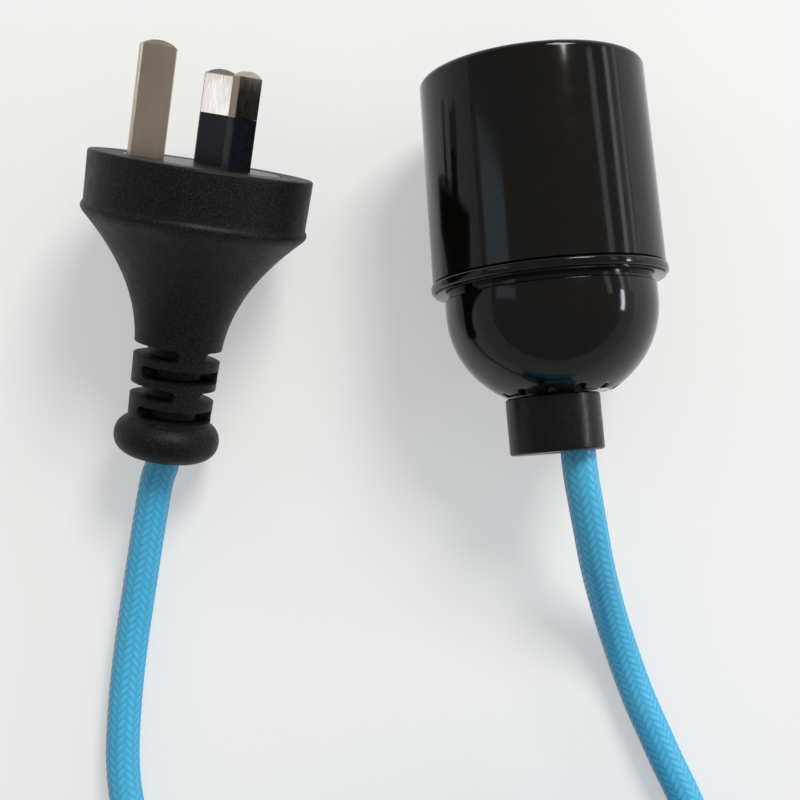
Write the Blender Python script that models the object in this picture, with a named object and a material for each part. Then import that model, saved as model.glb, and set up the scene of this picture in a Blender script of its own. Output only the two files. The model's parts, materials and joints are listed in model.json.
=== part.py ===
"""A plug-in pendant cord lying on a table: a screw-thread lampholder, a moulded three-pin plug,
and one braided cord between them whose spare length is wound into a coil.

Metres, +Z up. The origin is under the middle of the lampholder, on the table, and +Y runs along
the lampholder's axis, out of its mouth. The lampholder and the plug are each drawn about the
local Z of an empty: 0 is the mouth, or the plug's face, and Z grows towards the cord.
"""

import bmesh
import bpy
from math import acos, atan2, ceil, cos, hypot, pi, radians, sin, sqrt
from mathutils import Euler, Matrix, Vector

# Fits and fineness
GAP = 0.0003
SLIM_GAP = 0.0001
ROUND_STEPS = 36
SMALL_STEPS = 16
SHARP_ANGLE = radians(35)

# Lampholder shell, with its moulded lamp thread
MOUTH_R = 0.01995
SLEEVE_BASE_R = 0.0206
SLEEVE_LENGTH = 0.0364
RIM_ROUND = 0.0012
GUARD_BORE_R = 0.0147
GUARD_DEPTH = 0.0076
THREAD_LEAD_IN = 0.0008
THREAD_ROOT_R = 0.0134
THREAD_DEPTH = 0.0011
THREAD_PITCH = 0.003629
THREAD_TURNS = 4.5
THREAD_ROWS_PER_TURN = 5
CAP_SEAT_R = 0.0176

# Dome cap that closes the shell
FLANGE_R = 0.02095
FLANGE_THICKNESS = 0.0018
FLANGE_ROUND = 0.0005
GROOVE_R = 0.0180
GROOVE_WIDTH = 0.0010
DOME_R = 0.0187
DOME_STRAIGHT = 0.0028
DOME_HEIGHT = 0.0175
DOME_END_R = 0.0094
DOME_STEPS = 8
CAP_WALL = 0.0023
NECK_WALL = 0.0024
NOTCH_COUNT = 12
NOTCH_WIDTH = 0.0012
NOTCH_DEPTH = 0.0007
NOTCH_REACH = 0.0009

# Cord grip screwed into the dome
COLLAR_R = 0.00832
COLLAR_LENGTH = 0.00995
COLLAR_OFFSET = -0.0013
COLLAR_ROUND = 0.0006
STEM_R = 0.0049
STEM_DEPTH = 0.0080
STEM_BORE_R = 0.0029
COLLAR_FLOOR = 0.0025
CORD_OFFSET = 0.0023
GRIP_SCREW_R = 0.00185
GRIP_SCREW_LENGTH = 0.0066
GRIP_SCREW_ANGLE = radians(200)

# Contacts and terminals
CARRIER_THICKNESS = 0.0072
STRIP_THICKNESS = 0.0005
STRIP_WIDTH = 0.0050
CENTRE_CONTACT_RISE = 0.0034
SIDE_CONTACT_RISE = 0.0062
SIDE_CONTACT_R = 0.0113
TERMINAL_X = 0.0060
TERMINAL_WIDTH = 0.0065
TERMINAL_DEPTH = 0.0070
TERMINAL_HEIGHT = 0.0080
TERMINAL_SCREW_R = 0.0013
TERMINAL_HEAD_R = 0.0023
TERMINAL_HEAD_HEIGHT = 0.0014
SCREW_SLOT_WIDTH = 0.0006
SCREW_SLOT_DEPTH = 0.0006
RIVET_R = 0.0012
RIVET_HEAD_R = 0.0020
RIVET_HEAD_HEIGHT = 0.0006
RIVET_GRIP = 0.0014
CORE_R = 0.00105
CORE_RING_R = 0.0015
CORE_CAP_WALL = 0.0006
CORE_CAP_LENGTH = 0.0085
EARTH_CORE_Y = 0.0095

# Plug body, moulded round the pins and the cord
BAND_R = 0.01995
BAND_WAIST_R = 0.01975
BAND_LENGTH = 0.0089
FACE_ROUND = 0.0005
LIP_R = 0.02015
LIP_WIDTH = 0.0020
FLARE_START_R = 0.0197
FLARE_LENGTH = 0.0240
FLARE_POWER = 2.13
FLARE_STEPS = 8
NECK_TOP_R = 0.00785
NECK_END_R = 0.0075
RELIEF_HUB_R = 0.0051
RELIEF_SLOT_HEIGHT = 0.00195
RELIEF_STEP = 0.0037
RELIEF_LEVELS = 4
RELIEF_FIRST = 0.0340
RELIEF_WEB_ANGLE = radians(38)
RELIEF_ROLL = radians(-19)
BULB_R = 0.0096
BULB_CORE_R = 0.0050
BULB_CENTRE = 0.0500
BULB_HALF_LENGTH = 0.0038
BULB_POWER = 2.2
BULB_STEPS = 5
PLUG_CORD_DEPTH = 0.0230
WIRE_SPACE_R = 0.0128
WIRE_SPACE_END = 0.0095

# Pins, their insulation and the bridge that holds them
PIN_WIDTH = 0.00635
PIN_THICKNESS = 0.0016
PIN_CHAMFER = 0.00025
PIN_TIP_LENGTH = 0.0014
PIN_TIP_WIDTH = 0.0034
PIN_TIP_THICKNESS = 0.0006
PIN_TAIL = 0.0078
PIN_TAIL_WIDTH = 0.0036
LIVE_PIN_LENGTH = 0.01706
LIVE_PIN_R = 0.00792
EARTH_PIN_LENGTH = 0.01994
EARTH_PIN_R = 0.01031
PIN_ROLL = radians(-28)
PIN_SLEEVE_REACH = 0.0090
PIN_NECK_WIDTH = 0.00515
PIN_NECK_THICKNESS = 0.0007
BRIDGE_R = 0.0140
BRIDGE_THICKNESS = 0.0040

# Where the plug lies, beside the lampholder
PLUG_X = -0.0596
PLUG_Y = 0.0223
PLUG_YAW = radians(-14.1)

# Cord
CORD_R = 0.0031
COIL_X = -0.0190
COIL_Y = -0.1480
COIL_COLUMNS = 3
COIL_LAYERS = 4
COIL_INNER_TURN_R = 0.0288
COIL_CORNER_STEPS = 3
LAST_TURN_DROP = radians(85)
LEAD_SPACING = 0.0125
TIE_WIDTH = 0.0090
TIE_THICKNESS = 0.0005
TIE_ANGLE = radians(90)

# Colours, sRGB
BLACK_PHENOLIC = (0.035, 0.033, 0.034)
BLACK_PVC = (0.060, 0.062, 0.066)
BLACK_NYLON = (0.050, 0.051, 0.054)
CERAMIC_WHITE = (0.86, 0.84, 0.80)
BRASS = (0.78, 0.66, 0.42)
NICKEL = (0.66, 0.62, 0.58)
STEEL = (0.70, 0.71, 0.72)
SKY_BLUE = (0.30, 0.70, 0.90)
CORE_BROWN = (0.36, 0.20, 0.11)
CORE_BLUE = (0.20, 0.42, 0.75)
CORE_GREEN = (0.35, 0.62, 0.22)

# Stations along the lampholder's axis
THREAD_START = GUARD_DEPTH + THREAD_LEAD_IN
THREAD_END = THREAD_START + THREAD_TURNS * THREAD_PITCH
CARRIER_START = THREAD_END + GAP
CARRIER_END = CARRIER_START + CARRIER_THICKNESS
NECK_START = CARRIER_END + GAP
FLANGE_START = SLEEVE_LENGTH + GAP
FLANGE_END = FLANGE_START + FLANGE_THICKNESS
DOME_START = FLANGE_END + GROOVE_WIDTH
DOME_BEND = DOME_START + DOME_STRAIGHT
DOME_END = DOME_BEND + DOME_HEIGHT * sqrt(1 - (DOME_END_R / DOME_R) ** 2)
COLLAR_START = DOME_END + GAP
STEM_START = DOME_END - STEM_DEPTH
HOLDER_LENGTH = COLLAR_START + COLLAR_LENGTH
HOLDER_CORD_START = COLLAR_START + COLLAR_FLOOR + GAP
TERMINAL_END = CARRIER_END + GAP + TERMINAL_HEIGHT
WIRE_STATION = CARRIER_END + GAP + TERMINAL_HEIGHT / 2

# Stations along the plug's axis
LIP_ROUND = LIP_WIDTH / 2
LIP_CENTRE = BAND_LENGTH + LIP_ROUND
FLARE_START = BAND_LENGTH + LIP_WIDTH
PLUG_END = BULB_CENTRE + BULB_HALF_LENGTH
PLUG_CORD_START = PLUG_END - PLUG_CORD_DEPTH
BULB_START = BULB_CENTRE - BULB_HALF_LENGTH


def rest_tilt():
    """How far the plug's pins point up when its rounded lip and its bead both touch the table."""
    drop = LIP_R - LIP_ROUND - (BULB_R - BULB_HALF_LENGTH)
    run = BULB_CENTRE - LIP_CENTRE
    return acos((BULB_HALF_LENGTH - LIP_ROUND) / hypot(drop, run)) - atan2(run, drop)


PLUG_TILT = rest_tilt()
PLUG_Z = (LIP_R - LIP_ROUND) * cos(PLUG_TILT) + LIP_CENTRE * sin(PLUG_TILT) + LIP_ROUND


def clear_scene():
    for thing in list(bpy.data.objects):
        bpy.data.objects.remove(thing, do_unlink=True)


def finish(name, colour, roughness, metallic=0.0):
    """A plain material in the piece's own colour."""
    made = bpy.data.materials.new(name)
    made.use_nodes = True
    shader = made.node_tree.nodes["Principled BSDF"]
    shader.inputs["Base Color"].default_value = (*[channel ** 2.2 for channel in colour], 1)
    shader.inputs["Roughness"].default_value = roughness
    shader.inputs["Metallic"].default_value = metallic
    return made


def piece(name, mesh, material, parent=None):
    """An object round a finished bmesh, shaded smooth between its sharp edges."""
    bmesh.ops.remove_doubles(mesh, verts=mesh.verts, dist=1e-7)
    bmesh.ops.recalc_face_normals(mesh, faces=mesh.faces)
    data = bpy.data.meshes.new(name)
    mesh.to_mesh(data)
    mesh.free()
    data.shade_smooth()
    data.set_sharp_from_angle(angle=SHARP_ANGLE)
    made = bpy.data.objects.new(name, data)
    if material:
        data.materials.append(material)
    made.parent = parent
    bpy.context.collection.objects.link(made)
    return made


def empty(name, location, rotation):
    made = bpy.data.objects.new(name, None)
    made.location = location
    made.rotation_euler = rotation
    made.empty_display_size = 0.01
    bpy.context.collection.objects.link(made)
    return made


def turned(outline, steps=ROUND_STEPS, centre=(0.0, 0.0)):
    """A bmesh of an outline of (radius, z) spun about Z; one that stays off the axis is closed first."""
    mesh = bmesh.new()
    points = [mesh.verts.new((radius, 0, z)) for radius, z in outline]
    for one, other in zip(points, points[1:]):
        mesh.edges.new((one, other))
    if outline[0][0] > 0:
        mesh.edges.new((points[-1], points[0]))
    bmesh.ops.spin(mesh, geom=mesh.verts[:] + mesh.edges[:], cent=(0, 0, 0), axis=(0, 0, 1),
                   dvec=(0, 0, 0), angle=2 * pi, steps=steps, use_merge=True, use_duplicate=False)
    bmesh.ops.remove_doubles(mesh, verts=mesh.verts, dist=1e-7)
    bmesh.ops.translate(mesh, vec=(*centre, 0), verts=mesh.verts)
    return mesh


def lofted(sections, closed=False):
    """A bmesh through sections of equally many points each, capped at its ends unless it is closed."""
    mesh = bmesh.new()
    rings = [[mesh.verts.new(point) for point in section] for section in sections]
    pairs = list(zip(rings, rings[1:]))
    if closed:
        pairs.append((rings[-1], rings[0]))
    else:
        mesh.faces.new(rings[0][::-1])
        mesh.faces.new(rings[-1])
    for ring, following in pairs:
        for i in range(len(ring)):
            j = (i + 1) % len(ring)
            mesh.faces.new((ring[i], ring[j], following[j], following[i]))
    return mesh


def rod(radius, start, end, steps=SMALL_STEPS, centre=(0.0, 0.0)):
    return turned([(0, start), (radius, start), (radius, end), (0, end)], steps, centre)


def block(low, high):
    mesh = bmesh.new()
    bmesh.ops.create_cube(mesh, size=1)
    size = Vector(high) - Vector(low)
    bmesh.ops.transform(mesh, verts=mesh.verts, matrix=Matrix.Translation((Vector(low) + Vector(high)) / 2)
                        @ Matrix.Diagonal((*size, 1)))
    return mesh


def joined(meshes):
    """One bmesh that holds several, each still a body of its own: what a cutter may be."""
    whole = bmesh.new()
    for mesh in meshes:
        data = bpy.data.meshes.new("shape")
        bmesh.ops.recalc_face_normals(mesh, faces=mesh.faces)
        mesh.to_mesh(data)
        mesh.free()
        whole.from_mesh(data)
        bpy.data.meshes.remove(data)
    return whole


def combine(target, tool_mesh, operation="DIFFERENCE"):
    """Cuts a shape out of a piece, or joins one to it, with a hidden tool beside the piece."""
    tool = piece(target.name + "_" + operation.lower(), tool_mesh, None, target.parent)
    tool.hide_render = True
    tool.display_type = "WIRE"
    step = target.modifiers.new(tool.name, "BOOLEAN")
    step.object = tool
    step.operation = operation
    step.solver = "EXACT"
    return tool


def arc(centre_r, centre_z, radius, start, end, steps):
    """Points of a fillet in the (radius, z) plane, both ends included."""
    angles = [start + (end - start) * i / steps for i in range(steps + 1)]
    return [(centre_r + radius * cos(angle), centre_z + radius * sin(angle)) for angle in angles]


def smooth_line(points, spacing):
    """Points at an even spacing on one smooth curve through the given points."""
    knots = [Vector(point) for point in points]
    knots = [2 * knots[0] - knots[1], *knots, 2 * knots[-1] - knots[-2]]
    fine = []
    for before, start, end, after in zip(knots, knots[1:], knots[2:], knots[3:]):
        for i in range(12):
            t = i / 12
            fine.append(0.5 * (2 * start + (end - before) * t
                               + (2 * before - 5 * start + 4 * end - after) * t ** 2
                               + (3 * start - before - 3 * end + after) * t ** 3))
    fine.append(knots[-2])
    reach = [0.0]
    for one, other in zip(fine, fine[1:]):
        reach.append(reach[-1] + (other - one).length)
    count = ceil(reach[-1] / spacing)
    even = []
    here = 0
    for i in range(count + 1):
        wanted = reach[-1] * i / count
        while here < len(fine) - 2 and reach[here + 1] < wanted:
            here += 1
        share = (wanted - reach[here]) / (reach[here + 1] - reach[here])
        even.append(fine[here].lerp(fine[here + 1], share))
    return even


def tube(name, points, radius, material, parent=None, fineness=3):
    """A round tube through points, with filled ends."""
    curve = bpy.data.curves.new(name, "CURVE")
    curve.dimensions = "3D"
    curve.bevel_depth = radius
    curve.bevel_resolution = fineness
    curve.use_fill_caps = True
    curve.materials.append(material)
    line = curve.splines.new("POLY")
    line.points.add(len(points) - 1)
    for knot, point in zip(line.points, points):
        knot.co = (*point, 1)
    line.use_smooth = True
    made = bpy.data.objects.new(name, curve)
    made.parent = parent
    bpy.context.collection.objects.link(made)
    return made


# Lampholder

def thread_wave(mesh):
    """Presses the lamp thread's round helical ridge into the bore's wall."""
    for vert in mesh.verts:
        radius = hypot(vert.co.x, vert.co.y)
        along = vert.co.z - THREAD_START
        length = THREAD_END - THREAD_START
        if abs(radius - THREAD_ROOT_R) > 1e-6 or not 0 < along < length:
            continue
        turn = along / THREAD_PITCH - atan2(vert.co.y, vert.co.x) / (2 * pi)
        fade = min(1, 2 * along / THREAD_PITCH, 2 * (length - along) / THREAD_PITCH)
        new_radius = radius - THREAD_DEPTH * fade * (0.5 - 0.5 * cos(2 * pi * turn))
        vert.co.x *= new_radius / radius
        vert.co.y *= new_radius / radius


def build_sleeve(axis, material):
    """The threaded outer shell: flat mouth, rounded rim, plain guard bore, lamp thread, cap seat."""
    rows = ceil(THREAD_TURNS * THREAD_ROWS_PER_TURN)
    thread = [(THREAD_ROOT_R, THREAD_START + (THREAD_END - THREAD_START) * i / rows)
              for i in range(rows + 1)]
    outline = [(GUARD_BORE_R, 0)]
    outline += arc(MOUTH_R - RIM_ROUND, RIM_ROUND, RIM_ROUND, -pi / 2, 0, 4)
    outline += [(SLEEVE_BASE_R, SLEEVE_LENGTH), (CAP_SEAT_R, SLEEVE_LENGTH), (CAP_SEAT_R, THREAD_END)]
    outline += thread[::-1]
    outline += [(GUARD_BORE_R, GUARD_DEPTH)]
    mesh = turned(outline)
    thread_wave(mesh)
    return piece("sleeve", mesh, material, axis)


def dome_outline():
    """The dome's outer curve, a quarter of an ellipse cut off at the end face."""
    last = acos(DOME_END_R / DOME_R)
    steps = [last * i / DOME_STEPS for i in range(DOME_STEPS + 1)]
    return [(DOME_R * cos(angle), DOME_BEND + DOME_HEIGHT * sin(angle)) for angle in steps]


def dome_lining():
    """The dome's inner curve, one wall inside the outer one."""
    radius = DOME_R - CAP_WALL
    height = DOME_HEIGHT - CAP_WALL
    last = acos((DOME_END_R - CAP_WALL / 2) / radius)
    steps = [last * i / (DOME_STEPS - 2) for i in range(DOME_STEPS - 1)]
    return [(radius * cos(angle), DOME_BEND + height * sin(angle)) for angle in steps]


def build_dome_cap(axis, material):
    """The cap: a neck inside the shell, a flange ring, a shadow groove, and the dome with its hole."""
    neck_r = CAP_SEAT_R - GAP
    neck_bore_r = neck_r - NECK_WALL
    hole_r = STEM_R + GAP
    outline = [(neck_bore_r, NECK_START), (neck_r, NECK_START), (neck_r, FLANGE_START)]
    outline += arc(FLANGE_R - FLANGE_ROUND, FLANGE_START + FLANGE_ROUND, FLANGE_ROUND, -pi / 2, 0, 2)
    outline += arc(FLANGE_R - FLANGE_ROUND, FLANGE_END - FLANGE_ROUND, FLANGE_ROUND, 0, pi / 2, 2)
    outline += [(GROOVE_R, FLANGE_END), (GROOVE_R, DOME_START), (DOME_R, DOME_START)]
    outline += dome_outline()
    lining = dome_lining()
    outline += [(hole_r, DOME_END), (hole_r, lining[-1][1])]
    outline += lining[::-1]
    outline += [(lining[0][0], DOME_START), (neck_bore_r, FLANGE_START)]
    cap = piece("dome_cap", turned(outline), material, axis)
    notches = []
    for i in range(NOTCH_COUNT):
        notch = block((DOME_END_R - NOTCH_REACH, -NOTCH_WIDTH / 2, DOME_END - NOTCH_DEPTH),
                      (DOME_END_R + NOTCH_REACH, NOTCH_WIDTH / 2, DOME_END + NOTCH_DEPTH))
        turn = Matrix.Rotation(2 * pi * (i + 0.5) / NOTCH_COUNT, 4, "Z")
        bmesh.ops.transform(notch, verts=notch.verts, matrix=turn)
        notches.append(notch)
    combine(cap, joined(notches))
    return cap


def obround(x_start, x_end, radius, z_start, z_end, steps=SMALL_STEPS):
    """A slot with round ends, long in X, as a solid from one height to another."""
    half = steps // 2
    right = [(x_end + radius * cos(a), radius * sin(a)) for a in
             [-pi / 2 + pi * i / half for i in range(half + 1)]]
    left = [(x_start + radius * cos(a), radius * sin(a)) for a in
            [pi / 2 + pi * i / half for i in range(half + 1)]]
    return lofted([[(x, y, z) for x, y in right + left] for z in (z_start, z_end)])


def grip_screw_frame():
    """From a screw drawn along Z, head outwards, to its place in the collar's side."""
    station = (HOLDER_CORD_START + HOLDER_LENGTH) / 2
    outward = Vector((cos(GRIP_SCREW_ANGLE), sin(GRIP_SCREW_ANGLE), 0))
    turn = Vector((0, 0, 1)).rotation_difference(outward).to_matrix().to_4x4()
    return Matrix.Translation((CORD_OFFSET, 0, station)) @ turn


def slotted_screw(shank_r, head_r, shank_start, head_start, head_end):
    """A turned screw along Z, with its driver slot cut across the head."""
    outline = [(0, shank_start), (shank_r, shank_start), (shank_r, head_start), (head_r, head_start),
               (head_r, head_end), (0, head_end)]
    if head_r == shank_r:
        outline = [(0, shank_start), (shank_r, shank_start), (shank_r, head_end), (0, head_end)]
    reach = 2 * head_r
    slot = block((-reach, -SCREW_SLOT_WIDTH / 2, head_end - SCREW_SLOT_DEPTH),
                 (reach, SCREW_SLOT_WIDTH / 2, head_end + SCREW_SLOT_DEPTH))
    return turned(outline, SMALL_STEPS), slot


def build_cord_grip(axis, collar_material, screw_material):
    """The grip: a collar off the dome's centre, its threaded stem, and the screw that holds the cord."""
    bore_r = CORD_R + GAP
    outline = [(0, COLLAR_START), (COLLAR_R, COLLAR_START)]
    outline += arc(COLLAR_R - COLLAR_ROUND, HOLDER_LENGTH - COLLAR_ROUND, COLLAR_ROUND, 0, pi / 2, 3)
    outline += [(0, HOLDER_LENGTH)]
    grip = piece("cord_grip", turned(outline, centre=(COLLAR_OFFSET, 0)), collar_material, axis)
    overlap = COLLAR_FLOOR / 2
    combine(grip, rod(STEM_R, STEM_START, COLLAR_START + overlap, ROUND_STEPS // 2), "UNION")
    past = COLLAR_FLOOR
    combine(grip, rod(STEM_BORE_R, STEM_START - past, COLLAR_START + 2 * past, ROUND_STEPS // 2))
    combine(grip, obround(0, CORD_OFFSET, bore_r, COLLAR_START + COLLAR_FLOOR, HOLDER_LENGTH + past))
    place = grip_screw_frame()
    hole = rod(GRIP_SCREW_R + GAP, 0, 2 * COLLAR_R)
    bmesh.ops.transform(hole, verts=hole.verts, matrix=place)
    combine(grip, hole)

    tip = CORD_R + GAP
    shank, slot = slotted_screw(GRIP_SCREW_R, GRIP_SCREW_R, tip, tip, tip + GRIP_SCREW_LENGTH)
    bmesh.ops.transform(shank, verts=shank.verts, matrix=place)
    bmesh.ops.transform(slot, verts=slot.verts, matrix=place)
    screw = piece("cord_grip_screw", shank, screw_material, axis)
    combine(screw, slot)
    return grip, screw


def build_carrier(axis, material):
    """The insulating disc between the lamp's bore and the terminals, bored for its two rivets."""
    carrier = piece("contact_carrier", rod(CAP_SEAT_R - GAP, CARRIER_START, CARRIER_END, ROUND_STEPS),
                    material, axis)
    holes = [rod(RIVET_R + GAP, CARRIER_START - GAP, CARRIER_END + GAP, centre=(x, 0))
             for x in (-TERMINAL_X, TERMINAL_X)]
    combine(carrier, joined(holes))
    return carrier


def strip(name, path, material, axis, hole_x):
    """A bent leaf of sheet along a path of (x, z), as wide as the contacts are, with a rivet hole."""
    mesh = bmesh.new()
    half = STRIP_WIDTH / 2
    rows = [[mesh.verts.new((x, y, z)) for y in (-half, half)] for x, z in path]
    for row, following in zip(rows, rows[1:]):
        mesh.faces.new((row[0], following[0], following[1], row[1]))
    leaf = piece(name, mesh, material, axis)
    sheet = leaf.modifiers.new("sheet", "SOLIDIFY")
    sheet.thickness = STRIP_THICKNESS
    sheet.offset = 0
    sheet.use_even_offset = True
    base = path[0][1]
    combine(leaf, rod(RIVET_R + GAP, base - STRIP_WIDTH / 2, base + STRIP_WIDTH / 2,
                      centre=(hole_x, 0)))
    return leaf


def build_contacts(axis, material):
    """The centre leaf that the lamp's tip presses on, and the side leaf for its thread."""
    base = CARRIER_START - GAP - STRIP_THICKNESS / 2
    foot = RIVET_R + GAP + STRIP_WIDTH / 4
    top = base - CENTRE_CONTACT_RISE
    centre = [(-TERMINAL_X - foot, base), (-TERMINAL_X + foot, base), (-TERMINAL_X + 2 * foot, base),
              (0, top), (foot, top), (2 * foot - RIVET_R, top + STRIP_THICKNESS)]
    side_top = base - SIDE_CONTACT_RISE
    side = [(TERMINAL_X - foot, base), (TERMINAL_X + foot, base), (SIDE_CONTACT_R - RIVET_R, base),
            (SIDE_CONTACT_R, base - RIVET_R), (SIDE_CONTACT_R - STRIP_THICKNESS, side_top)]
    return (strip("centre_contact", centre, material, axis, -TERMINAL_X),
            strip("side_contact", side, material, axis, TERMINAL_X))


def build_rivet(name, x, axis, material):
    """A rivet through its leaf and the carrier, with its tail in the terminal's foot."""
    head_end = CARRIER_START - 2 * GAP - STRIP_THICKNESS
    outline = [(0, head_end - RIVET_HEAD_HEIGHT), (RIVET_HEAD_R * 0.7, head_end - RIVET_HEAD_HEIGHT),
               (RIVET_HEAD_R, head_end - RIVET_HEAD_HEIGHT / 2), (RIVET_HEAD_R, head_end),
               (RIVET_R, head_end), (RIVET_R, CARRIER_END + GAP + RIVET_GRIP),
               (0, CARRIER_END + GAP + RIVET_GRIP)]
    return piece(name, turned(outline, SMALL_STEPS, (x, 0)), material, axis)


def build_terminal(side, x, axis, brass, steel):
    """A brass terminal on the carrier's back, and the screw that clamps the core in it."""
    foot = CARRIER_END + GAP
    terminal = piece(side + "_terminal",
                     block((x - TERMINAL_WIDTH / 2, -TERMINAL_DEPTH / 2, foot),
                           (x + TERMINAL_WIDTH / 2, TERMINAL_DEPTH / 2, TERMINAL_END)), brass, axis)
    wire_hole_r = CORE_R + GAP
    wire_hole = rod(wire_hole_r, -TERMINAL_DEPTH, TERMINAL_DEPTH)
    bmesh.ops.transform(wire_hole, verts=wire_hole.verts,
                        matrix=Matrix.Translation((x, 0, WIRE_STATION)) @ Matrix.Rotation(pi / 2, 4, "X"))
    combine(terminal, wire_hole)
    combine(terminal, rod(TERMINAL_SCREW_R + GAP, WIRE_STATION, TERMINAL_END + GAP, centre=(x, 0)))
    combine(terminal, rod(RIVET_R + GAP, foot - GAP, foot + RIVET_GRIP + GAP, centre=(x, 0)))

    head_start = TERMINAL_END + GAP
    shank, slot = slotted_screw(TERMINAL_SCREW_R, TERMINAL_HEAD_R, WIRE_STATION + CORE_R + SLIM_GAP,
                                head_start, head_start + TERMINAL_HEAD_HEIGHT)
    for mesh in (shank, slot):
        bmesh.ops.translate(mesh, vec=(x, 0, 0), verts=mesh.verts)
    screw = piece(side + "_terminal_screw", shank, steel, axis)
    combine(screw, slot)
    return terminal, screw


def core_seat(angle):
    """Where a core lies in the three-core bundle at the cord's end."""
    return CORE_RING_R * cos(angle), CORE_RING_R * sin(angle)


def build_holder_cores(axis, brown, blue, green, cap_material):
    """Three cores from the cord's end through the stem: two into the terminals, the earth one parked."""
    start = HOLDER_CORD_START - 2 * GAP
    turn = DOME_BEND + DOME_HEIGHT / 4
    below = -TERMINAL_DEPTH / 2
    for name, angle, x, colour in (("active", 210, -TERMINAL_X, brown), ("neutral", 330, TERMINAL_X, blue)):
        seat_x, seat_y = core_seat(radians(angle))
        route = [(seat_x, seat_y, start), (seat_x, seat_y, STEM_START),
                 ((seat_x + x) / 2, (seat_y + 2 * below) / 2, turn + CORE_R),
                 (x, 2.4 * below, (turn + WIRE_STATION) / 2), (x, 1.8 * below, WIRE_STATION + CORE_R),
                 (x, below - GAP, WIRE_STATION), (x, 0, WIRE_STATION), (x, -below / 3, WIRE_STATION)]
        tube("holder_" + name + "_core", smooth_line(route, 3 * CORE_R), CORE_R, colour, axis, 2)
    seat_x, seat_y = core_seat(radians(90))
    cap_mouth = STEM_START - 4 * CORE_R
    cap_floor = cap_mouth - CORE_CAP_LENGTH
    route = [(seat_x, seat_y, start), (seat_x, seat_y, STEM_START),
             (0, (seat_y + EARTH_CORE_Y) / 2, STEM_START - 2 * CORE_R),
             (0, EARTH_CORE_Y, cap_mouth - CORE_R), (0, EARTH_CORE_Y, cap_floor + CORE_CAP_LENGTH / 2),
             (0, EARTH_CORE_Y, cap_floor + CORE_CAP_WALL + GAP)]
    tube("holder_earth_core", smooth_line(route, 3 * CORE_R), CORE_R, green, axis, 2)
    bore_r = CORE_R + GAP
    outer_r = bore_r + CORE_CAP_WALL
    mouth = cap_mouth - 2 * CORE_R
    outline = [(0, cap_floor), (outer_r, cap_floor), (outer_r, mouth), (bore_r, mouth),
               (bore_r, cap_floor + CORE_CAP_WALL), (0, cap_floor + CORE_CAP_WALL)]
    piece("earth_core_cap", turned(outline, SMALL_STEPS, (0, EARTH_CORE_Y)), cap_material, axis)


# Plug

def flare_outline():
    """The hollow curve from the lip down to the strain relief's neck."""
    points = []
    for i in range(FLARE_STEPS + 1):
        share = i / FLARE_STEPS
        radius = NECK_TOP_R + (FLARE_START_R - NECK_TOP_R) * (1 - share) ** FLARE_POWER
        points.append((radius, FLARE_START + FLARE_LENGTH * share))
    return points


def bulb_outline():
    """The rounded bead that ends the strain relief."""
    reach = BULB_R - BULB_CORE_R
    points = []
    for i in range(1, 2 * BULB_STEPS + 1):
        share = -cos(pi * i / (2 * BULB_STEPS))
        radius = BULB_CORE_R + reach * (1 - abs(share) ** BULB_POWER) ** (1 / BULB_POWER)
        if share > 0 or radius > NECK_END_R:
            points.append((radius, BULB_CENTRE + BULB_HALF_LENGTH * share))
    return points


def relief_cutters():
    """A pair of part-round slots at each level, each level a quarter turn from the last."""
    outer_r = 1.6 * NECK_TOP_R
    span = pi - RELIEF_WEB_ANGLE
    steps = 10
    cutters = []
    for level in range(RELIEF_LEVELS):
        middle = RELIEF_FIRST + level * RELIEF_STEP
        heights = (middle - RELIEF_SLOT_HEIGHT / 2, middle + RELIEF_SLOT_HEIGHT / 2)
        for side in (0, pi):
            first = RELIEF_ROLL + level * pi / 2 + side - span / 2
            angles = [first + span * i / steps for i in range(steps + 1)]
            rim = [(outer_r * cos(a), outer_r * sin(a)) for a in angles]
            hub = [(RELIEF_HUB_R * cos(a), RELIEF_HUB_R * sin(a)) for a in reversed(angles)]
            cutters.append(lofted([[(x, y, z) for x, y in rim + hub] for z in heights]))
    return joined(cutters)


def build_plug_body(axis, material):
    """The moulded body: face band, lip, flare, slotted strain relief and bead, with room for the wires."""
    cord_hole_r = CORD_R + GAP
    recess_r = BRIDGE_R + GAP
    recess_depth = BRIDGE_THICKNESS + GAP
    outline = [(recess_r, 0)]
    outline += arc(BAND_R - FACE_ROUND, FACE_ROUND, FACE_ROUND, -pi / 2, 0, 2)
    outline += [(BAND_WAIST_R, BAND_LENGTH)]
    outline += arc(LIP_R - LIP_ROUND, LIP_CENTRE, LIP_ROUND, -pi / 4, pi / 4, 4)
    outline += flare_outline()
    outline += [(NECK_END_R, BULB_START)]
    outline += bulb_outline()
    outline += [(cord_hole_r, PLUG_END), (cord_hole_r, PLUG_CORD_START - 4 * CORE_R),
                (WIRE_SPACE_R, WIRE_SPACE_END), (WIRE_SPACE_R, recess_depth), (recess_r, recess_depth)]
    body = piece("plug_body", turned(outline), material, axis)
    combine(body, relief_cutters())
    return body


def blade_section(width, thickness, chamfer, z):
    """Eight corners of a flat blade with its long edges chamfered, wide in X."""
    x = width / 2
    y = thickness / 2
    return [(x, -y + chamfer, z), (x, y - chamfer, z), (x - chamfer, y, z), (-x + chamfer, y, z),
            (-x, y - chamfer, z), (-x, -y + chamfer, z), (-x + chamfer, -y, z), (x - chamfer, -y, z)]


def pin_frame(angle, radius, flat_across):
    """To a pin's place in the face; its flat is across the radius, or along it for the earth pin."""
    turn = angle + (pi / 2 if flat_across else 0)
    return Matrix.Translation((radius * cos(angle), radius * sin(angle), 0)) @ Matrix.Rotation(turn, 4, "Z")


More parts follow.
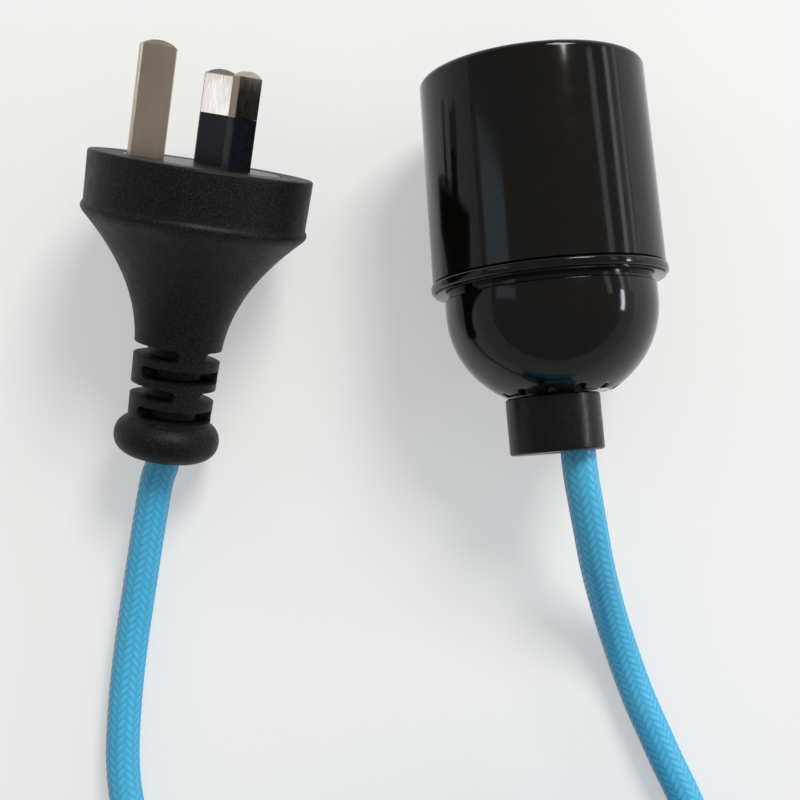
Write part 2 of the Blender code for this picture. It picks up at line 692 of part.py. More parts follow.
def pin_tip(length):
    """The tapered end of a blade, from its point back to its full section."""
    small = PIN_CHAMFER / 2
    shoulder = (PIN_WIDTH + PIN_TIP_WIDTH) / 2
    return [blade_section(PIN_TIP_WIDTH, PIN_TIP_THICKNESS, small, -length),
            blade_section(shoulder, (PIN_THICKNESS + PIN_TIP_THICKNESS) / 2, small,
                          -length + PIN_TIP_LENGTH / 3),
            blade_section(PIN_WIDTH, PIN_THICKNESS, PIN_CHAMFER, -length + PIN_TIP_LENGTH)]


def build_earth_pin(axis, angle, material):
    full = (PIN_WIDTH, PIN_THICKNESS, PIN_CHAMFER)
    tail = (PIN_TAIL_WIDTH, PIN_THICKNESS, PIN_CHAMFER)
    sections = pin_tip(EARTH_PIN_LENGTH)
    sections += [blade_section(*full, BRIDGE_THICKNESS), blade_section(*tail, BRIDGE_THICKNESS),
                 blade_section(*tail, PIN_TAIL)]
    mesh = lofted(sections)
    bmesh.ops.transform(mesh, verts=mesh.verts, matrix=pin_frame(angle, EARTH_PIN_R, False))
    return piece("earth_pin", mesh, material, axis)


def build_live_pin(side, axis, angle, metal, insulation):
    """A current-carrying pin, necked where it wears its insulating sleeve, and that sleeve."""
    place = pin_frame(angle, LIVE_PIN_R, True)
    small = PIN_CHAMFER / 2
    sections = pin_tip(LIVE_PIN_LENGTH)
    sections += [blade_section(PIN_WIDTH, PIN_THICKNESS, PIN_CHAMFER, -PIN_SLEEVE_REACH - SLIM_GAP),
                 blade_section(PIN_NECK_WIDTH, PIN_NECK_THICKNESS, small, -PIN_SLEEVE_REACH - SLIM_GAP),
                 blade_section(PIN_NECK_WIDTH, PIN_NECK_THICKNESS, small, PIN_TAIL)]
    mesh = lofted(sections)
    bmesh.ops.transform(mesh, verts=mesh.verts, matrix=place)
    pin = piece(side + "_pin", mesh, metal, axis)
    hole = (PIN_NECK_WIDTH + 2 * SLIM_GAP, PIN_NECK_THICKNESS + 2 * SLIM_GAP, small)
    outside = (PIN_WIDTH, PIN_THICKNESS, PIN_CHAMFER)
    mesh = lofted([blade_section(*outside, -PIN_SLEEVE_REACH), blade_section(*outside, BRIDGE_THICKNESS),
                   blade_section(*hole, BRIDGE_THICKNESS), blade_section(*hole, -PIN_SLEEVE_REACH)],
                  closed=True)
    bmesh.ops.transform(mesh, verts=mesh.verts, matrix=place)
    return pin, piece(side + "_pin_sleeve", mesh, insulation, axis)


def build_bridge(axis, places, material):
    """The disc in the plug's face that carries the three pins."""
    bridge = piece("pin_bridge", rod(BRIDGE_R, 0, BRIDGE_THICKNESS, ROUND_STEPS), material, axis)
    reach = BRIDGE_THICKNESS
    windows = []
    for place in places:
        window = block((-PIN_WIDTH / 2 - SLIM_GAP, -PIN_THICKNESS / 2 - SLIM_GAP, -reach),
                       (PIN_WIDTH / 2 + SLIM_GAP, PIN_THICKNESS / 2 + SLIM_GAP, 2 * reach))
        bmesh.ops.transform(window, verts=window.verts, matrix=place)
        windows.append(window)
    combine(bridge, joined(windows))
    return bridge


def build_plug_core(name, angle, pin_radius, axis, material):
    """A core from the tail of its pin to the cord's end."""
    seat_x, seat_y = core_seat(angle)
    x, y = pin_radius * cos(angle), pin_radius * sin(angle)
    inner = min(pin_radius, WIRE_SPACE_R - 2 * CORE_R)
    near_x, near_y = inner * cos(angle), inner * sin(angle)
    tail = PIN_TAIL + GAP
    route = [((x + near_x) / 2, (y + near_y) / 2, tail), (near_x, near_y, tail + 2 * CORE_R),
             ((near_x + seat_x) / 2, (near_y + seat_y) / 2, (tail + PLUG_CORD_START) / 2),
             (seat_x, seat_y, PLUG_CORD_START - 4 * CORE_R), (seat_x, seat_y, PLUG_CORD_START - GAP)]
    tube(name, smooth_line(route, 3 * CORE_R), CORE_R, material, axis, 2)


def build_plug(materials):
    axis = empty("plug_axis", (PLUG_X, PLUG_Y, PLUG_Z), (pi / 2 + PLUG_TILT, 0, PLUG_YAW))
    earth, active, neutral = [PIN_ROLL + turn for turn in (pi, pi / 3, -pi / 3)]
    build_plug_body(axis, materials["pvc"])
    build_earth_pin(axis, earth, materials["nickel"])
    build_live_pin("active", axis, active, materials["nickel"], materials["nylon"])
    build_live_pin("neutral", axis, neutral, materials["nickel"], materials["nylon"])
    places = [pin_frame(earth, EARTH_PIN_R, False), pin_frame(active, LIVE_PIN_R, True),
              pin_frame(neutral, LIVE_PIN_R, True)]
    build_bridge(axis, places, materials["nylon"])
    build_plug_core("plug_earth_core", earth, EARTH_PIN_R, axis, materials["green"])
    build_plug_core("plug_active_core", active, LIVE_PIN_R, axis, materials["brown"])
    build_plug_core("plug_neutral_core", neutral, LIVE_PIN_R, axis, materials["blue"])


def build_holder(materials):
    axis = empty("holder_axis", (0, HOLDER_LENGTH / 2, FLANGE_R), (pi / 2, 0, 0))
    build_sleeve(axis, materials["phenolic"])
    build_dome_cap(axis, materials["phenolic"])
    build_cord_grip(axis, materials["nylon"], materials["nylon"])
    build_carrier(axis, materials["ceramic"])
    build_contacts(axis, materials["brass"])
    build_rivet("centre_contact_rivet", -TERMINAL_X, axis, materials["brass"])
    build_rivet("side_contact_rivet", TERMINAL_X, axis, materials["brass"])
    build_terminal("active", -TERMINAL_X, axis, materials["brass"], materials["steel"])
    build_terminal("neutral", TERMINAL_X, axis, materials["brass"], materials["steel"])
    build_holder_cores(axis, materials["brown"], materials["blue"], materials["green"],
                       materials["nylon"])


# Cord

def plug_point(t):
    """A point on the plug's axis, t from its face, in the world."""
    turn = Euler((pi / 2 + PLUG_TILT, 0, PLUG_YAW)).to_matrix()
    return Vector((PLUG_X, PLUG_Y, PLUG_Z)) + turn @ Vector((0, 0, t))


COIL_LIFT = TIE_THICKNESS + GAP
COIL_OUTER_TURN_R = COIL_INNER_TURN_R + (COIL_COLUMNS - 1) * 2 * CORD_R
COIL_HEIGHT = COIL_LAYERS * 2 * CORD_R
LAST_TURN_R = COIL_OUTER_TURN_R + 2 * CORD_R + 3 * GAP

HOLDER_LEAD = [
    (0.0025, -0.0385, 0.0205), (0.0030, -0.0430, 0.0194), (0.0037, -0.0480, 0.0174),
    (0.0046, -0.0535, 0.0142), (0.0059, -0.0590, 0.0101), (0.0073, -0.0645, 0.0068),
    (0.0088, -0.0700, 0.0045), (0.0103, -0.0755, 0.0033), (0.0119, -0.0810, 0.0031),
    (0.0138, -0.0865, 0.0031), (0.0157, -0.0920, 0.0031), (0.0178, -0.0975, 0.0031),
    (0.0198, -0.1035, 0.0031), (0.0213, -0.1100, 0.0031), (0.0221, -0.1170, 0.0031),
    (0.0222, -0.1245, 0.0031)]
PLUG_LEAD = [
    (-0.0670, -0.1400, 0.0031), (-0.0690, -0.1315, 0.0031), (-0.0726, -0.1230, 0.0031),
    (-0.0768, -0.1145, 0.0031), (-0.0806, -0.1060, 0.0031), (-0.0833, -0.0980, 0.0031),
    (-0.0846, -0.0905, 0.0031), (-0.0848, -0.0835, 0.0031), (-0.0841, -0.0763, 0.0031),
    (-0.0830, -0.0690, 0.0031), (-0.0816, -0.0617, 0.0032), (-0.0799, -0.0544, 0.0037),
    (-0.0781, -0.0470, 0.0045), (-0.0762, -0.0397, 0.0057), (-0.0741, -0.0325, 0.0073)]


def on_table(points):
    """The points, none of them lower than the cord's own radius above the table."""
    return [Vector((x, y, max(z, CORD_R))) for x, y, z in points]


def last_half_turn():
    """The cord's last half turn: it slips off the coil's top, then runs round its foot on the table."""
    top = COIL_LIFT + COIL_HEIGHT - CORD_R
    points = []
    steps = 12
    for i in range(steps + 1):
        angle = -pi * i / steps
        share = min(1, -angle / LAST_TURN_DROP)
        ease = share * share * (3 - 2 * share)
        points.append((COIL_X + LAST_TURN_R * cos(angle), COIL_Y + LAST_TURN_R * sin(angle),
                       top + (CORD_R - top) * ease))
    return points


def build_coil(material):
    """The wound spare length: a ring as wide and high as its turns, round at its corners."""
    low = COIL_LIFT
    high = COIL_LIFT + COIL_HEIGHT
    inner = COIL_INNER_TURN_R
    outer = COIL_OUTER_TURN_R
    steps = COIL_CORNER_STEPS
    outline = arc(outer, low + CORD_R, CORD_R, -pi / 2, 0, steps)
    outline += arc(outer, high - CORD_R, CORD_R, 0, pi / 2, steps)
    outline += arc(inner, high - CORD_R, CORD_R, pi / 2, pi, steps)
    outline += arc(inner, low + CORD_R, CORD_R, pi, 3 * pi / 2, steps)
    coil = piece("cord_coil", turned(outline), material)
    coil.location = (COIL_X, COIL_Y, 0)
    return coil


def build_tie(material):
    """A strap closed round the coil's turns, lying flat under them."""
    inner_x = COIL_INNER_TURN_R - CORD_R - GAP
    outer_x = COIL_OUTER_TURN_R + CORD_R + GAP
    low = COIL_LIFT - GAP
    high = COIL_LIFT + COIL_HEIGHT + GAP
    half = TIE_WIDTH / 2
    sag = outer_x - sqrt(outer_x ** 2 - half ** 2)

    def loop(grow, y):
        corners = [(outer_x + grow, low - grow), (outer_x + grow, high + grow),
                   (inner_x - sag - grow, high + grow), (inner_x - sag - grow, low - grow)]
        return [(x, y, z) for x, z in corners]

    mesh = lofted([loop(TIE_THICKNESS, -half), loop(TIE_THICKNESS, half), loop(0, half), loop(0, -half)],
                  closed=True)
    tie = piece("coil_tie", mesh, material)
    tie.location = (COIL_X, COIL_Y, 0)
    tie.rotation_euler = (0, 0, TIE_ANGLE)
    return tie


def build_cord(materials):
    cord_start = HOLDER_LENGTH / 2 - HOLDER_CORD_START
    inside = [(CORD_OFFSET, cord_start, FLANGE_R), (CORD_OFFSET, -HOLDER_LENGTH / 2, FLANGE_R)]
    route = smooth_line(inside + HOLDER_LEAD, LEAD_SPACING)
    tube("cord_holder_lead", on_table(route), CORD_R, materials["blue_braid"])
    plug_end = [plug_point(PLUG_END), plug_point((PLUG_END + PLUG_CORD_START) / 2),
                plug_point(PLUG_CORD_START)]
    route = smooth_line(last_half_turn() + PLUG_LEAD + plug_end, LEAD_SPACING)
    tube("cord_plug_lead", on_table(route), CORD_R, materials["blue_braid"])
    build_coil(materials["blue_braid"])
    build_tie(materials["nylon"])


def main():
    clear_scene()
    materials = {
        "phenolic": finish("black_phenolic", BLACK_PHENOLIC, 0.18),
        "pvc": finish("black_pvc", BLACK_PVC, 0.55),
        "nylon": finish("black_nylon", BLACK_NYLON, 0.42),
        "ceramic": finish("white_ceramic", CERAMIC_WHITE, 0.45),
        "brass": finish("brass", BRASS, 0.30, 1.0),
        "nickel": finish("nickel_plate", NICKEL, 0.32, 1.0),
        "steel": finish("zinc_steel", STEEL, 0.35, 1.0),
        "blue_braid": finish("blue_braid", SKY_BLUE, 0.50),
        "brown": finish("brown_core", CORE_BROWN, 0.40),
        "blue": finish("blue_core", CORE_BLUE, 0.40),
        "green": finish("green_core", CORE_GREEN, 0.40),
    }
    build_holder(materials)
    build_plug(materials)
    build_cord(materials)


main()
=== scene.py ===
"""The looks of a plug-in pendant cord: a black phenolic screw lampholder, a black moulded plug with
flat pins, and the sky-blue braided cord between them, its spare length wound into a strapped coil.

Metres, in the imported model's frame. The lampholder and the plug are each drawn about a local Z of
their own: 0 is the mouth, or the plug's face, and Z grows towards the cord.
"""

from __future__ import annotations

import json
import logging
from collections.abc import Callable
from dataclasses import dataclass, field
from enum import Enum
from math import acos, atan2, ceil, cos, hypot, pi, radians, sin, sqrt

import bmesh
import bpy
from mathutils import Euler, Matrix, Vector

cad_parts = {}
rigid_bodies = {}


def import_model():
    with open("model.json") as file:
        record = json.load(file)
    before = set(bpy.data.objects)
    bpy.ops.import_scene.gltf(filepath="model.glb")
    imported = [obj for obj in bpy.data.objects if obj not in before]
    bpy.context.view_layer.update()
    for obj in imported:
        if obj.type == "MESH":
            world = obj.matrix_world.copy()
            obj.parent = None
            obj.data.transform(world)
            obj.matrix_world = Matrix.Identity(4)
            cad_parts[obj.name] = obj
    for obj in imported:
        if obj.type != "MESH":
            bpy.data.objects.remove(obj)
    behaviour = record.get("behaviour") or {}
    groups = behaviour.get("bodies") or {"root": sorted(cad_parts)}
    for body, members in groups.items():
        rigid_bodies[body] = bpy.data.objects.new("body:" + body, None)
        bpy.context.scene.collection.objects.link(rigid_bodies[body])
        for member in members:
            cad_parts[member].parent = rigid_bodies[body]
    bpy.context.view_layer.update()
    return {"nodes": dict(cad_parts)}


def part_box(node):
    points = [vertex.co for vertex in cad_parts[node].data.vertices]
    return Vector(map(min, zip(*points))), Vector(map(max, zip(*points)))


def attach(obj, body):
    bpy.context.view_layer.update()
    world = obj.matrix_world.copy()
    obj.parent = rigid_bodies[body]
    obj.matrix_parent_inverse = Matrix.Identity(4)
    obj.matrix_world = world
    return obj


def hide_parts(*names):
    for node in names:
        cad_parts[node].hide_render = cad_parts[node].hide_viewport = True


LOG = logging.getLogger("pendant_cord")

BODY = "root"
WEAR_NAME = "edge_wear"
BRAID_MAP = "braid"
SHARP_ANGLE = radians(32)
BLADE_SHARP_ANGLE = radians(14)
ROUND_STEPS = 144
ROW_APART = 1e-6
NOISE_SPAN = (0.3, 0.7)
NOISE_ROUGHNESS = 0.55
PLUG_YAW = radians(-14.1)
PIN_RISE = radians(14.6)

DOME_SIDE = (0.010, -0.009, 0.037)
SLEEVE_RIGHT = (0.010, 0.008, 0.038)
SLEEVE_LEFT = (-0.010, 0.008, 0.039)
LIVE_PINS = (-0.054, 0.035, 0.025)
EARTH_PIN = (-0.066, 0.033, 0.030)

Point = tuple[float, float, float]
Span = tuple[float, float]
Outline = list[tuple[float, float]]
Ring = list[Point]
Vary = Callable[[float, float, float], tuple[float, float]]


class Slot(Enum):
    """The record's material slots that the pieces take their finish from."""

    PHENOLIC = "black_phenolic"
    NYLON = "black_nylon"
    PVC = "black_pvc"
    PIN_INSULATION = "pin_insulation"
    NICKEL = "nickel_pin"
    BRASS = "brass"
    ZINC = "zinc_steel"
    STEATITE = "white_ceramic"
    BRAID = "blue_braid"
    BROWN_CORE = "brown_core"
    BLUE_CORE = "blue_core"
    GREEN_CORE = "green_core"
    WEBBING = "tie_webbing"


def linear(code: str) -> tuple[float, float, float, float]:
    """Turns an sRGB hex colour into the linear one that a shader reads.

    Args:
        code: The colour as #rrggbb.

    Returns:
        Red, green, blue and a full alpha.
    """
    channels = [int(code[i:i + 2], 16) / 255 for i in (1, 3, 5)]
    bent = [c / 12.92 if c <= 0.04045 else ((c + 0.055) / 1.055) ** 2.4 for c in channels]
    return (bent[0], bent[1], bent[2], 1.0)


def add_node(tree: bpy.types.NodeTree, kind: str, inputs: dict | None = None,
             **settings: object) -> bpy.types.Node:
    """Adds a node, sets its properties, and fills or links its inputs.

    Args:
        tree: The tree that gets the node.
        kind: The node's type.
        inputs: Socket name or number, and the value or the output socket that it takes.
        settings: Properties of the node.

    Returns:
        The new node.
    """
    made = tree.nodes.new(kind)
    for name, value in settings.items():
        setattr(made, name, value)
    for name, value in (inputs or {}).items():
        if isinstance(value, bpy.types.NodeSocket):
            tree.links.new(value, made.inputs[name])
        else:
            made.inputs[name].default_value = value
    return made


def smooth_step(value: float) -> float:
    """Eases a value from 0 to 1, held at both ends."""
    held = min(1.0, max(0.0, value))
    return held * held * (3 - 2 * held)


def arc(centre_r: float, centre_z: float, radius: float, start: float, end: float,
        steps: int) -> Outline:
    """Gives a fillet's points in the (radius, z) plane, both ends included.

    Args:
        centre_r: The fillet centre's distance from the axis.
        centre_z: The fillet centre's station.
        radius: The fillet's own radius.
        start: Its first angle.
        end: Its last angle.
        steps: How many chords it has.

    Returns:
        The points from start to end.
    """
    angles = [start + (end - start) * i / steps for i in range(steps + 1)]
    return [(centre_r + radius * cos(a), centre_z + radius * sin(a)) for a in angles]


def straight(one: tuple[float, float], other: tuple[float, float], spacing: float) -> Outline:
    """Gives the points of a straight stretch without its first one, no further apart than spacing."""
    count = max(1, ceil(hypot(other[0] - one[0], other[1] - one[1]) / spacing))
    return [(one[0] + (other[0] - one[0]) * i / count, one[1] + (other[1] - one[1]) * i / count)
            for i in range(1, count + 1)]


def add_object(name: str, data: bpy.types.ID) -> bpy.types.Object:
    """Makes an object of some data and puts it in the scene."""
    made = bpy.data.objects.new(name, data)
    bpy.context.scene.collection.objects.link(made)
    return made


def build_object(name: str, verts: list, faces: list, place: Matrix | None = None,
                 sharp: float = SHARP_ANGLE) -> bpy.types.Object:
    """Makes a piece of plain geometry, its faces pointing out and its place in its mesh.

    Args:
        name: The piece's name.
        verts: Its points.
        faces: Its faces, as lists of point numbers.
        place: From the points' own frame to the model's.
        sharp: Edges that turn by more than this stay sharp.

    Returns:
        The piece, with its object at the origin.
    """
    data = bpy.data.meshes.new(name)
    data.from_pydata(verts, [], faces)
    mesh = bmesh.new()
    mesh.from_mesh(data)
    bmesh.ops.remove_doubles(mesh, verts=mesh.verts, dist=1e-7)
    bmesh.ops.recalc_face_normals(mesh, faces=mesh.faces)
    mesh.to_mesh(data)
    mesh.free()
    if place is not None:
        data.transform(place)
    data.shade_smooth()
    data.set_sharp_from_angle(angle=sharp)
    return add_object(name, data)


def turned(name: str, outline: Outline, place: Matrix, steps: int = ROUND_STEPS,
           vary: Vary | None = None, sharp: float = SHARP_ANGLE) -> bpy.types.Object:
    """Turns an outline about Z. One that stays off the axis is closed into a ring.

    Args:
        name: The piece's name.
        outline: Its points as (radius, z).
        place: From the turning frame to the model's.
        steps: How many columns go round.
        vary: Gives a point's radius and z from its radius, its z and its angle.
        sharp: Edges that turn by more than this stay sharp.

    Returns:
        The finished piece.
    """
    verts: list[Point] = []
    rows: list[list[int]] = []
    for radius, z in outline:
        first = len(verts)
        if radius == 0:
            verts.append((0.0, 0.0, z))
            rows.append([first] * steps)
            continue
        for i in range(steps):
            angle = 2 * pi * i / steps
            wide, high = vary(radius, z, angle) if vary else (radius, z)
            verts.append((wide * cos(angle), wide * sin(angle), high))
        rows.append(list(range(first, first + steps)))
    pairs = list(zip(rows, rows[1:]))
    if outline[0][0] > 0:
        pairs.append((rows[-1], rows[0]))
    return build_object(name, verts, faces_between(pairs), place, sharp)


def faces_between(pairs: list[tuple[list[int], list[int]]]) -> list[list[int]]:
    """Gives the faces that join pairs of rings, with triangles where a ring is one point.

    Args:
        pairs: The point numbers of each ring and of the one after it.

    Returns:
        The faces, as lists of point numbers.
    """
    faces = []
    for row, following in pairs:
        for i in range(len(row)):
            j = (i + 1) % len(row)
            corners = [row[i], row[j], following[j], following[i]]
            faces.append(list(dict.fromkeys(corners)))
    return [face for face in faces if len(face) > 2]


def lofted(name: str, sections: list[Ring], place: Matrix, closed: bool = False,
           sharp: float = SHARP_ANGLE) -> bpy.types.Object:
    """Joins sections of equally many points, and caps the two ends unless it is closed.

    Args:
        name: The piece's name.
        sections: Rings of points, in order.
        place: From the sections' frame to the model's.
        closed: Whether the last section joins the first.
        sharp: Edges that turn by more than this stay sharp.

    Returns:
        The finished piece.
    """
    size = len(sections[0])
    rows = [list(range(i * size, (i + 1) * size)) for i in range(len(sections))]
    pairs = list(zip(rows, rows[1:]))
    if closed:
        pairs.append((rows[-1], rows[0]))
    faces = faces_between(pairs)
    if not closed:
        faces += [rows[0][::-1], rows[-1]]
    verts = [point for section in sections for point in section]
    return build_object(name, verts, faces, place, sharp)


def cut(piece: bpy.types.Object, cutter: bpy.types.Object) -> bpy.types.Object:
    """Cuts one piece out of another, removes the cutter and leaves plain geometry.

    Args:
        piece: The piece that is cut.
        cutter: The shape that is taken out of it.

    Returns:
        The piece that was cut.
    """
    step = piece.modifiers.new("cut", "BOOLEAN")
    step.object = cutter
    step.operation = "DIFFERENCE"
    step.solver = "EXACT"
    graph = bpy.context.evaluated_depsgraph_get()
    data = bpy.data.meshes.new_from_object(piece.evaluated_get(graph))
    piece.modifiers.clear()
    piece.data = data
    bpy.data.objects.remove(cutter, do_unlink=True)
    data.shade_smooth()
    data.set_sharp_from_angle(angle=SHARP_ANGLE)
    return piece


def settle(piece: bpy.types.Object, slot: Slot, material: bpy.types.Material,
           *replaced: str) -> bpy.types.Object:
    """Dresses a finished piece, gives it its body, logs its slot and hides the model's nodes that it
    stands for.

    Args:
        piece: The finished piece.
        slot: The record's slot that it belongs to.
        material: What it wears.
        replaced: The model's nodes that it stands for.

    Returns:
        The same piece.
    """
    piece.data.materials.clear()
    piece.data.materials.append(material)
    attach(piece, BODY)
    if replaced:
        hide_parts(*replaced)
    LOG.info("made %s, slot %s", piece.name, slot.value)
    return piece


@dataclass(frozen=True)
class Finish:
    """A finish's plain numbers: its colour, roughness, metal and index of refraction."""

    name: str
    colour: str
    roughness: float
    ior: float = 1.5
    metallic: float = 0.0
    specular: float = 0.5

    def start(self) -> tuple[bpy.types.Material, bpy.types.NodeTree, bpy.types.Node]:
        """Makes the material with its shader at this finish's plain numbers.

        Returns:
            The material, its node tree and its shader.
        """
        made = bpy.data.materials.new(self.name)
        made.use_nodes = True
        tree = made.node_tree
        shader = tree.nodes["Principled BSDF"]
        shader.inputs["Base Color"].default_value = linear(self.colour)
        shader.inputs["Roughness"].default_value = self.roughness
        shader.inputs["IOR"].default_value = self.ior
        shader.inputs["Metallic"].default_value = self.metallic
        shader.inputs["Specular IOR Level"].default_value = self.specular
        return made, tree, shader

    def noise(self, tree: bpy.types.NodeTree, size: float, detail: float = 2.0,
              stretch: Point = (1.0, 1.0, 1.0), turn: Point = (0.0, 0.0, 0.0)) -> bpy.types.NodeSocket:
        """Adds a noise on Object coordinates.

        Args:
            tree: The material's tree.
            size: The size of one grain, in metres.
            detail: How many finer layers it has.
            stretch: How much longer the grain is along each axis of its own frame.
            turn: How that frame is turned.

        Returns:
            The noise's value, about 0.5 on average.
        """
        where = add_node(tree, "ShaderNodeTexCoord")
        placed = add_node(tree, "ShaderNodeMapping", {
            "Vector": where.outputs["Object"], "Rotation": turn, "Scale": stretch},
            vector_type="TEXTURE")
        made = add_node(tree, "ShaderNodeTexNoise", {
            "Vector": placed.outputs["Vector"], "Scale": 1 / size, "Detail": detail,
            "Roughness": NOISE_ROUGHNESS})
        return made.outputs["Fac"]

    def between(self, tree: bpy.types.NodeTree, value: bpy.types.NodeSocket, span: Span,
                result: Span = (0.0, 1.0)) -> bpy.types.NodeSocket:
        """Maps a value from one range to another, held at both ends.

        Args:
            tree: The material's tree.
            value: What is mapped.
            span: The values between which it is mapped.
            result: What the first and the last of them give.

        Returns:
            The mapped value.
        """
        made = add_node(tree, "ShaderNodeMapRange", {
            "Value": value, "From Min": span[0], "From Max": span[1], "To Min": result[0],
            "To Max": result[1]})
        return made.outputs["Result"]

    def around(self, smoother: float, rougher: float) -> Span:
        """Gives the range of roughness from a little under the finish's own to a little over it."""
        return (self.roughness - smoother, self.roughness + rougher)

    def mixed(self, tree: bpy.types.NodeTree, factor: bpy.types.NodeSocket,
              one: str | bpy.types.NodeSocket, other: str) -> bpy.types.NodeSocket:
        """Mixes a colour, as hex or as a socket, with a hex colour and gives the result.

        Args:
            tree: The material's tree.
            factor: The share of the second colour.
            one: The first colour, as hex or as a socket.
            other: The second colour, as hex.

        Returns:
            The mixed colour.
        """
        first = linear(one) if isinstance(one, str) else one
        made = add_node(tree, "ShaderNodeMix", {"Factor": factor, 6: first, 7: linear(other)},
                        data_type="RGBA")
        return made.outputs[2]

    def relief(self, tree: bpy.types.NodeTree, shader: bpy.types.Node,
               height: bpy.types.NodeSocket, depth: float) -> None:
        """Links a bump of the given depth, in metres, to the shader's normal.

        Args:
            tree: The material's tree.
            shader: The shader that gets the bump.
            height: How high the surface stands, from 0 to 1.
            depth: What a height of 1 is, in metres.
        """
        made = add_node(tree, "ShaderNodeBump", {"Height": height, "Distance": depth,
                                                 "Strength": 1.0})
        tree.links.new(made.outputs["Normal"], shader.inputs["Normal"])


@dataclass(frozen=True)
class Phenolic(Finish):
    """Compression-moulded black phenolic: hard and glossy, a little wavy, with faint handling haze."""

    second: str = "#13100d"
    wave_size: float = 0.009
    wave_depth: float = 0.000010
    haze_size: float = 0.004
    haze_span: Span = (0.35, 0.75)
    haze_rise: float = 0.07
    filler_size: float = 0.0006
    filler_span: Span = (0.4, 0.75)

    def build(self) -> bpy.types.Material:
        """Makes the material.

        Returns:
            The material.
        """
        made, tree, shader = self.start()
        haze = self.noise(tree, self.haze_size, 5.0)
        rough = self.between(tree, haze, self.haze_span, self.around(0.0, self.haze_rise))
        tree.links.new(rough, shader.inputs["Roughness"])
        tone = self.between(tree, self.noise(tree, self.filler_size, 3.0), self.filler_span)
        tree.links.new(self.mixed(tree, tone, self.colour, self.second), shader.inputs["Base Color"])
        self.relief(tree, shader, self.noise(tree, self.wave_size, 1.0), self.wave_depth)
        return made


@dataclass(frozen=True)
class Nylon(Finish):
    """Injection-moulded black nylon: satin, with fine pulled scuffs along the mould's draw."""

    grain: float = 0.00018
    second: str = "#131211"
    depth: float = 0.000005
    patch_size: float = 0.0012
    patch_span: Span = (0.4, 0.7)
    scuff_length: float = 6.0
    scuff_span: Span = (0.35, 0.7)
    smoother: float = 0.06
    rougher: float = 0.10

    def build(self) -> bpy.types.Material:
        """Makes the material.

        Returns:
            The material.
        """
        made, tree, shader = self.start()
        scuff = self.noise(tree, self.grain, 3.0, stretch=(1.0, self.scuff_length, 1.0))
        rough = self.between(tree, scuff, self.scuff_span, self.around(self.smoother, self.rougher))
        tree.links.new(rough, shader.inputs["Roughness"])
        tone = self.between(tree, self.noise(tree, self.patch_size, 4.0), self.patch_span)
        tree.links.new(self.mixed(tree, tone, self.colour, self.second), shader.inputs["Base Color"])
        self.relief(tree, shader, scuff, self.depth)
        return made


@dataclass(frozen=True)
class GrainedPvc(Finish):
    """Over-moulded black PVC with a fine spark-eroded grain whose high points are painted a lighter grey,
    partly grain tone and partly painted sheen specks.
    """

    second: str = "#262727"
    grain: float = 0.00030
    speck_sheen_span: Span = (0.48, 0.66)
    depth: float = 0.000060
    patch_size: float = 0.0030
    smoother: float = 0.05
    rougher: float = 0.08

    def build(self) -> bpy.types.Material:
        """Makes the material.

        Returns:
            The material.
        """
        made, tree, shader = self.start()
        grain = self.noise(tree, self.grain, 2.5)
        patch = self.noise(tree, self.patch_size, 4.0)
        # Partly painted sheen: the grain's high points take the lighter grey as specks of painted sheen,
        # besides the grain's own random tone.
        tone = self.between(tree, grain, self.speck_sheen_span)
        tree.links.new(self.mixed(tree, tone, self.colour, self.second), shader.inputs["Base Color"])
        rough = self.between(tree, patch, NOISE_SPAN, self.around(self.smoother, self.rougher))
        tree.links.new(rough, shader.inputs["Roughness"])
        self.relief(tree, shader, grain, self.depth)
        return made


@dataclass(frozen=True)
class Metal(Finish):
    """Drawn or stamped strip: fine lines along its length, small pits and a slow change of tone."""

    line: float = 0.00014
    line_length: float = 18.0
    line_depth: float = 0.0000010
    pit_size: float = 0.00035
    pit_span: Span = (0.60, 0.75)
    pit_tone: float = 0.6
    cloud_size: float = 0.0060
    cloud_length: float = 2.0
    tone_span: Span = (0.35, 0.65)
    swing: float = 0.12
    smoother: float = 0.04
    rougher: float = 0.08
    worn_rise: float = 0.14
    second: str = "#8f8272"
    draw: Point = (0.0, 0.0, 0.0)
    worn: str = ""

    def build(self) -> bpy.types.Material:
        """Makes the material, worn to the base metal where a piece's own attribute says so.

        Returns:
            The material.
        """
        made, tree, shader = self.start()
        lines = self.noise(tree, self.line, 3.0, stretch=(1.0, 1.0, self.line_length), turn=self.draw)
        pits = self.noise(tree, self.pit_size, 3.0)
        pits = self.between(tree, pits, self.pit_span, (0.0, self.pit_tone))
        rough = self.between(tree, lines, NOISE_SPAN, self.around(self.smoother, self.rougher))
        slow = self.noise(tree, self.cloud_size, 2.0, stretch=(1.0, 1.0, self.cloud_length),
                          turn=self.draw)
        streak = self.between(tree, lines, NOISE_SPAN, (-self.swing, self.swing))
        tone = add_node(tree, "ShaderNodeMath", {0: slow, 1: streak}, operation="ADD")
        tone = self.between(tree, tone.outputs[0], self.tone_span)
        tone = add_node(tree, "ShaderNodeMath", {0: tone, 1: pits}, operation="MAXIMUM").outputs[0]
        colour = self.mixed(tree, tone, self.colour, self.second)
        if self.worn:
            wear = add_node(tree, "ShaderNodeAttribute", attribute_name=WEAR_NAME).outputs["Fac"]
            colour = self.mixed(tree, wear, colour, self.worn)
            more = add_node(tree, "ShaderNodeMath", {0: wear, 1: self.worn_rise, 2: rough},
                            operation="MULTIPLY_ADD")
            rough = more.outputs[0]
        tree.links.new(rough, shader.inputs["Roughness"])
        tree.links.new(colour, shader.inputs["Base Color"])
        self.relief(tree, shader, lines, self.line_depth)
        return made


